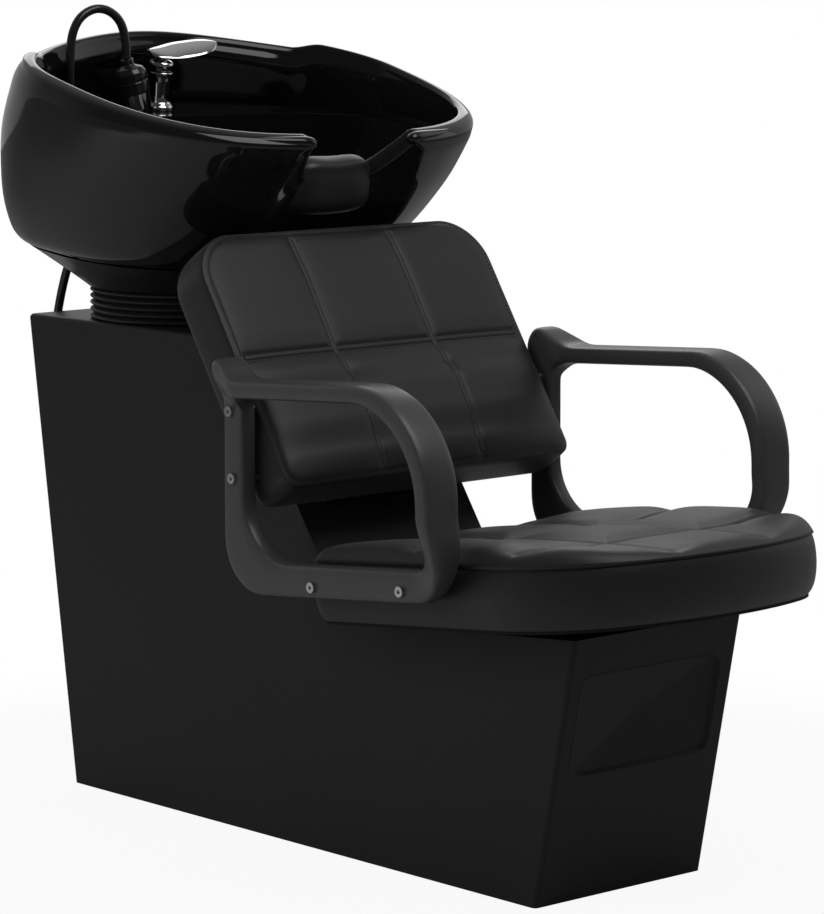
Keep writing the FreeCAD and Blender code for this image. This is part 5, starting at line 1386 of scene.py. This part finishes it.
@dataclass
class Tap:
    """Single-lever mixer on the bowl's deck."""

    x: float = 6.0
    station: float = 906.0
    turn: float = -12.0
    bank: float = 24.0
    bank_least: float = 0.55
    bank_span: Row = (-18.5, 52.0)
    arch: float = 2.6
    joint: float = 52.5
    around: int = 32
    steps: int = 5
    body: Sequence[Row] = ((0.0, 0.0), (23.0, 0.0), (23.0, 5.0), (20.5, 8.0), (17.8, 11.0), (16.8, 20.0), (17.0, 38.0),
                           (18.3, 46.0), (18.5, 52.0), (0.0, 52.0))
    body_round: float = 2.5
    hub: Sequence[Row] = ((0.0, 0.0), (18.5, 0.0), (18.5, 9.6), (16.8, 13.2), (12.0, 16.2), (0.0, 16.8))
    hub_round: float = 3.0
    neck: Sequence[Row] = ((0.0, 17.2), (8.2, 20.9), (8.2, 24.6), (0.0, 24.6))
    leaf: Sequence[Row] = ((-18.5, 6.0, 3.0, 23.3), (-16.3, 12.8, 5.6, 23.5), (-9.0, 18.4, 6.8, 24.2),
                           (5.0, 21.0, 6.8, 25.5), (22.0, 21.4, 6.2, 27.4), (40.0, 20.6, 5.0, 30.0),
                           (56.0, 19.4, 4.2, 32.6), (69.0, 16.0, 3.6, 34.8), (78.0, 10.0, 3.0, 36.4),
                           (82.0, 3.6, 2.2, 37.0))

    def frame_at(self, up: float, turn: float = 0.0) -> Matrix:
        """Frame on the tap's axis, at a height above the deck and turned about it.

        Args:
            up: height above the deck.
            turn: turn about the axis, in degrees.

        Returns:
            The frame.
        """
        foot = Matrix.Translation(spot(self.x, self.station, deck_at(self.station)))
        return (foot @ Matrix.Rotation(math.atan(DECK_SLOPE), 4, "X") @ Matrix.Translation((0, 0, up / PER_METRE))
                @ Matrix.Rotation(math.radians(turn), 4, "Z"))

    def lever(self) -> bpy.types.Object:
        """Leaf-shaped lever, banked towards its tip.

        Returns:
            The lever.
        """
        frame_of = self.frame_at(self.joint, self.turn)
        start, width = self.bank_span
        loops = []
        for x, half, thick, z in through(self.leaf, self.steps):
            share = mix(self.bank_least, 1.0, smooth_step((x - start) / width))
            banked = Matrix.Rotation(math.radians(self.bank) * share, 3, "X")
            loop = []
            for turn in turns_of(self.around):
                local = Vector((0.0, half * math.cos(turn), thick / 2 * math.sin(turn)))
                local.z += self.arch * (1 - (local.y / max(half, 1.0)) ** 2)
                local = banked @ local
                loop.append(frame_of @ metres(x, local.y, z + local.z))
            loops.append(loop)
        return dress(soften(skin("lever_leaf", loops)), CHROME, Body.LEVER, "chrome", "tap_lever")

    def build(self) -> list[bpy.types.Object]:
        """Builds body, hub, neck and lever.

        Returns:
            The four pieces.
        """
        body = lathe("mixer_body", rounded(self.body, self.body_round), self.frame_at(0.0))
        dress(body, CHROME, Body.BOWL, "chrome", "tap_body")
        hub = lathe("mixer_hub", rounded(self.hub, self.hub_round), self.frame_at(self.joint))
        dress(hub, CHROME, Body.HUB, "chrome", "tap_hub")
        neck = lathe("lever_neck", self.neck, self.frame_at(self.joint, self.turn))
        return [body, hub, dress(neck, CHROME, Body.LEVER, "chrome"), self.lever()]


@dataclass
class Sprayer:
    """Hand sprayer leaning in its holder."""

    x: float = -52.0
    station: float = 878.0
    lean: float = -14.0
    stem: float = 8.0
    profile: Sequence[Row] = ((0.0, 1.0), (14.6, 1.0), (14.6, 20.5), (22.6, 20.5), (23.0, 22.0), (23.0, 36.0),
                              (22.2, 37.0), (22.2, 39.0), (23.0, 40.0), (23.0, 49.0), (18.5, 55.5), (10.5, 58.5),
                              (9.0, 60.0), (9.0, 67.5), (6.2, 67.5), (0.0, 66.5))
    rounding: float = 1.6

    def build(self) -> bpy.types.Object:
        """Builds the sprayer's head.

        Returns:
            The head.
        """
        frame_of = (Matrix.Translation(spot(self.x, self.station, deck_at(self.station) + self.stem))
                    @ Matrix.Rotation(math.radians(self.lean), 4, "Y"))
        head = lathe("spray_head", rounded(self.profile, self.rounding), frame_of)
        return dress(head, SPRAY, Body.SPRAYER, "sprayer", "sprayer_head")


@dataclass
class Hose:
    """Free hose on one smooth line."""

    name: str
    node: str
    body: Body
    route: Sequence[Row]
    length: float
    diameter: float = 0.012
    stiffness: str = "limp"

    def build(self) -> bpy.types.Object:
        """Builds the hose as a round curve.

        Returns:
            The hose.
        """
        data = bpy.data.curves.new(self.name, "CURVE")
        data.dimensions = "3D"
        data.bevel_depth = self.diameter / 2
        data.bevel_resolution = 6
        data.resolution_u = 16
        data.use_fill_caps = True
        spline = data.splines.new("NURBS")
        spline.points.add(len(self.route) - 1)
        for point, place in zip(spline.points, self.route):
            point.co = (*spot(*place), 1.0)
        spline.order_u = 3
        spline.use_endpoint_u = True
        piece = bpy.data.objects.new(self.name, data)
        bpy.context.collection.objects.link(piece)
        dress(piece, SLEEVE, self.body, "hose", self.node)
        return piece


# Studio

@dataclass
class Studio:
    """Pale floor, soft lamps, a pale surround and the camera at the photograph's view."""

    eye: tuple[float, float, float] = (-3.2121, -3.6272, 1.1660)
    turn: tuple[float, float, float] = (82.05, 0.0, -41.83)
    lens: float = 150.03
    floor_size: float = 14.0
    floor_tone: float = 0.44
    floor_fade: dict[str, float] = field(default_factory=lambda: {
        "From Min": 0.75, "From Max": 1.25, "To Min": 0.93, "To Max": 1.0})
    ambient: float = 0.30
    behind: tuple[float, float, float] = (0.66, 0.74, 0.1)
    mirrored: dict[str, float] = field(default_factory=lambda: {
        "From Min": -0.35, "From Max": 0.75, "To Min": 0.05, "To Max": 0.42})
    unmirrored: str = "left"
    lamps: Sequence[tuple] = (
        ("overhead", (0.3, -1.5, 2.9), (0.0, 0.0, 0.5), (1.8, 1.8), 31.0),
        ("left", (-3.0, 0.6, 1.7), (0.0, 0.1, 0.6), (1.8, 2.2), 60.0),
        ("right", (2.7, -1.0, 2.1), (0.0, -0.2, 0.5), (1.6, 2.0), 5.0),
        ("rear", (1.5, 2.1, 2.1), (0.0, 0.0, 0.5), (2.2, 1.2), 13.0))

    def floor(self) -> None:
        """Pale floor, nearly white to the eye, that keeps a soft shadow."""
        bm = bmesh.new()
        bmesh.ops.create_grid(bm, x_segments=1, y_segments=1, size=self.floor_size)
        piece = mesh_object("studio_floor", bm)
        paint = bpy.data.materials.new("studio_floor_paint")
        paint.use_nodes = True
        tree = paint.node_tree
        shader = tree.nodes["Principled BSDF"]
        tone = (self.floor_tone, self.floor_tone, self.floor_tone, 1.0)
        set_inputs(shader, {"Base Color": tone, "Roughness": 0.9, "Specular IOR Level": 0.1})
        glow, both, path, place = (add_node(tree, kind) for kind in ("Emission", "MixShader", "LightPath", "TexCoord"))
        away = add_node(tree, "VectorMath", operation="LENGTH")
        fade = add_node(tree, "MapRange", self.floor_fade, interpolation_type="SMOOTHSTEP")
        lift = add_node(tree, "Math", operation="MULTIPLY")
        wire(tree, (place.outputs["Object"], away.inputs[0]), (away.outputs["Value"], fade.inputs["Value"]),
             (path.outputs["Is Camera Ray"], lift.inputs[0]), (fade.outputs["Result"], lift.inputs[1]),
             (lift.outputs[0], both.inputs[0]), (shader.outputs[0], both.inputs[1]), (glow.outputs[0], both.inputs[2]),
             (both.outputs[0], tree.nodes["Material Output"].inputs["Surface"]))
        piece.data.materials.append(paint)

    def surround(self) -> None:
        """White to the eye; to reflections, pale behind the object and dim in front; grey as light."""
        world = bpy.data.worlds.new("studio_surround")
        world.use_nodes = True
        bpy.context.scene.world = world
        tree = world.node_tree
        tree.nodes.clear()
        path, way, first, last, out = (add_node(tree, kind) for kind in (
            "LightPath", "TexCoord", "MixShader", "MixShader", "OutputWorld"))
        facing = add_node(tree, "VectorMath", {1: self.behind}, operation="DOT_PRODUCT")
        level = add_node(tree, "MapRange", self.mirrored, interpolation_type="SMOOTHSTEP")
        light = add_node(tree, "Background", {"Color": WHITE, "Strength": self.ambient})
        mirrored, seen = (add_node(tree, "Background", {"Color": WHITE}) for _ in range(2))
        shiny = add_node(tree, "Math", operation="MAXIMUM")
        wire(tree, (way.outputs["Generated"], facing.inputs[0]), (facing.outputs["Value"], level.inputs["Value"]),
             (level.outputs["Result"], mirrored.inputs["Strength"]), (path.outputs["Is Glossy Ray"], shiny.inputs[0]),
             (path.outputs["Is Transmission Ray"], shiny.inputs[1]), (shiny.outputs[0], first.inputs[0]),
             (light.outputs[0], first.inputs[1]), (mirrored.outputs[0], first.inputs[2]),
             (path.outputs["Is Camera Ray"], last.inputs[0]), (first.outputs[0], last.inputs[1]),
             (seen.outputs[0], last.inputs[2]), (last.outputs[0], out.inputs["Surface"]))

    def light(self) -> None:
        """Soft area lamps round the unit."""
        for name, at, to, size, power in self.lamps:
            data = bpy.data.lights.new(name, "AREA")
            data.shape = "RECTANGLE"
            data.size, data.size_y = size
            data.energy = power
            lamp = bpy.data.objects.new(name, data)
            lamp.location = at
            lamp.rotation_euler = (Vector(to) - Vector(at)).to_track_quat("-Z", "Y").to_euler()
            lamp.visible_glossy = name != self.unmirrored
            bpy.context.collection.objects.link(lamp)

    def camera(self) -> None:
        """Camera at the photograph's view."""
        data = bpy.data.cameras.new("view")
        data.lens = self.lens
        data.sensor_width = 36.0
        data.clip_end = 60.0
        camera = bpy.data.objects.new("view", data)
        camera.location = self.eye
        camera.rotation_euler = [math.radians(angle) for angle in self.turn]
        bpy.context.collection.objects.link(camera)
        bpy.context.scene.camera = camera

    def build(self) -> None:
        """Builds the studio."""
        bpy.context.scene.view_settings.view_transform = "Standard"
        self.floor()
        self.surround()
        self.light()
        self.camera()


# Places and tilts of the cushions' frames, and routes of the hoses
SEAT_BASE, SEAT_TILT = (0.0, 0.0, 346.5), -5.6
BACK_FOOT, BACK_RECLINE = (0.0, 337.5, 480.0), 33.0
SPRAY_ROUTE = (
    (-156.0, 886.0, 915.7), (-156.0, 886.0, 950.0), (-157.0, 886.5, 990.0), (-153.0, 886.0, 1025.0),
    (-138.0, 884.5, 1048.0), (-111.0, 882.0, 1058.0), (-84.0, 880.0, 1048.0), (-69.0, 878.5, 1023.0),
    (-68.3, 878.0, 988.0))
FEED_ROUTE = (
    (-84.0, 974.0, 735.0), (-84.0, 992.0, 708.0), (-84.0, 1010.0, 666.0), (-84.0, 1024.0, 618.0),
    (-84.0, 1033.0, 568.0), (-84.0, 1036.0, 526.0), (-84.0, 1026.0, 500.0), (-84.0, 1005.6, 486.0),
    (-84.0, 972.9, 490.8))


def main() -> None:
    """Builds every piece in order and the studio round them."""
    logging.basicConfig(level=logging.INFO)
    dress_solids()
    Bowl().build()
    NeckRest().build()
    Bellows().build()
    DrainPipe().build()
    seat_frame = (Matrix.Translation(spot(*SEAT_BASE)) @ Matrix.Rotation(math.radians(SEAT_TILT), 4, "X")
                  @ Matrix.Translation((0, 0, SeatCushion.seam / PER_METRE)))
    SeatCushion("seat_pad", "seat_cushion", seat_frame, channel_x=78.0, channel_v=(-60.0, 110.0), groove=3.0,
                groove_width=3.4, pillow=7.0, pillow_width=26.0).build()
    back_frame = (Matrix.Translation(spot(*BACK_FOOT))
                  @ Matrix.Rotation(math.pi / 2 - math.radians(BACK_RECLINE), 4, "X"))
    BackCushion("back_pad", "backrest_cushion", back_frame, channel_x=84.0, channel_v=(181.0,), groove=3.2,
                groove_width=5.2, pillow=1.6, pillow_width=20.0).build()
    for side in Side:
        LoopArm(side, "armrest_" + side.name.lower()).build()
    RecessDish().build()
    Tap().build()
    Sprayer().build()
    Hose("spray_hose", "sprayer_hose", Body.BOWL, SPRAY_ROUTE, 0.255).build()
    Hose("feed_hose", "supply_hose", Body.BASE, FEED_ROUTE, 0.304).build()
    Studio().build()


if __name__ == "__main__":
    main()
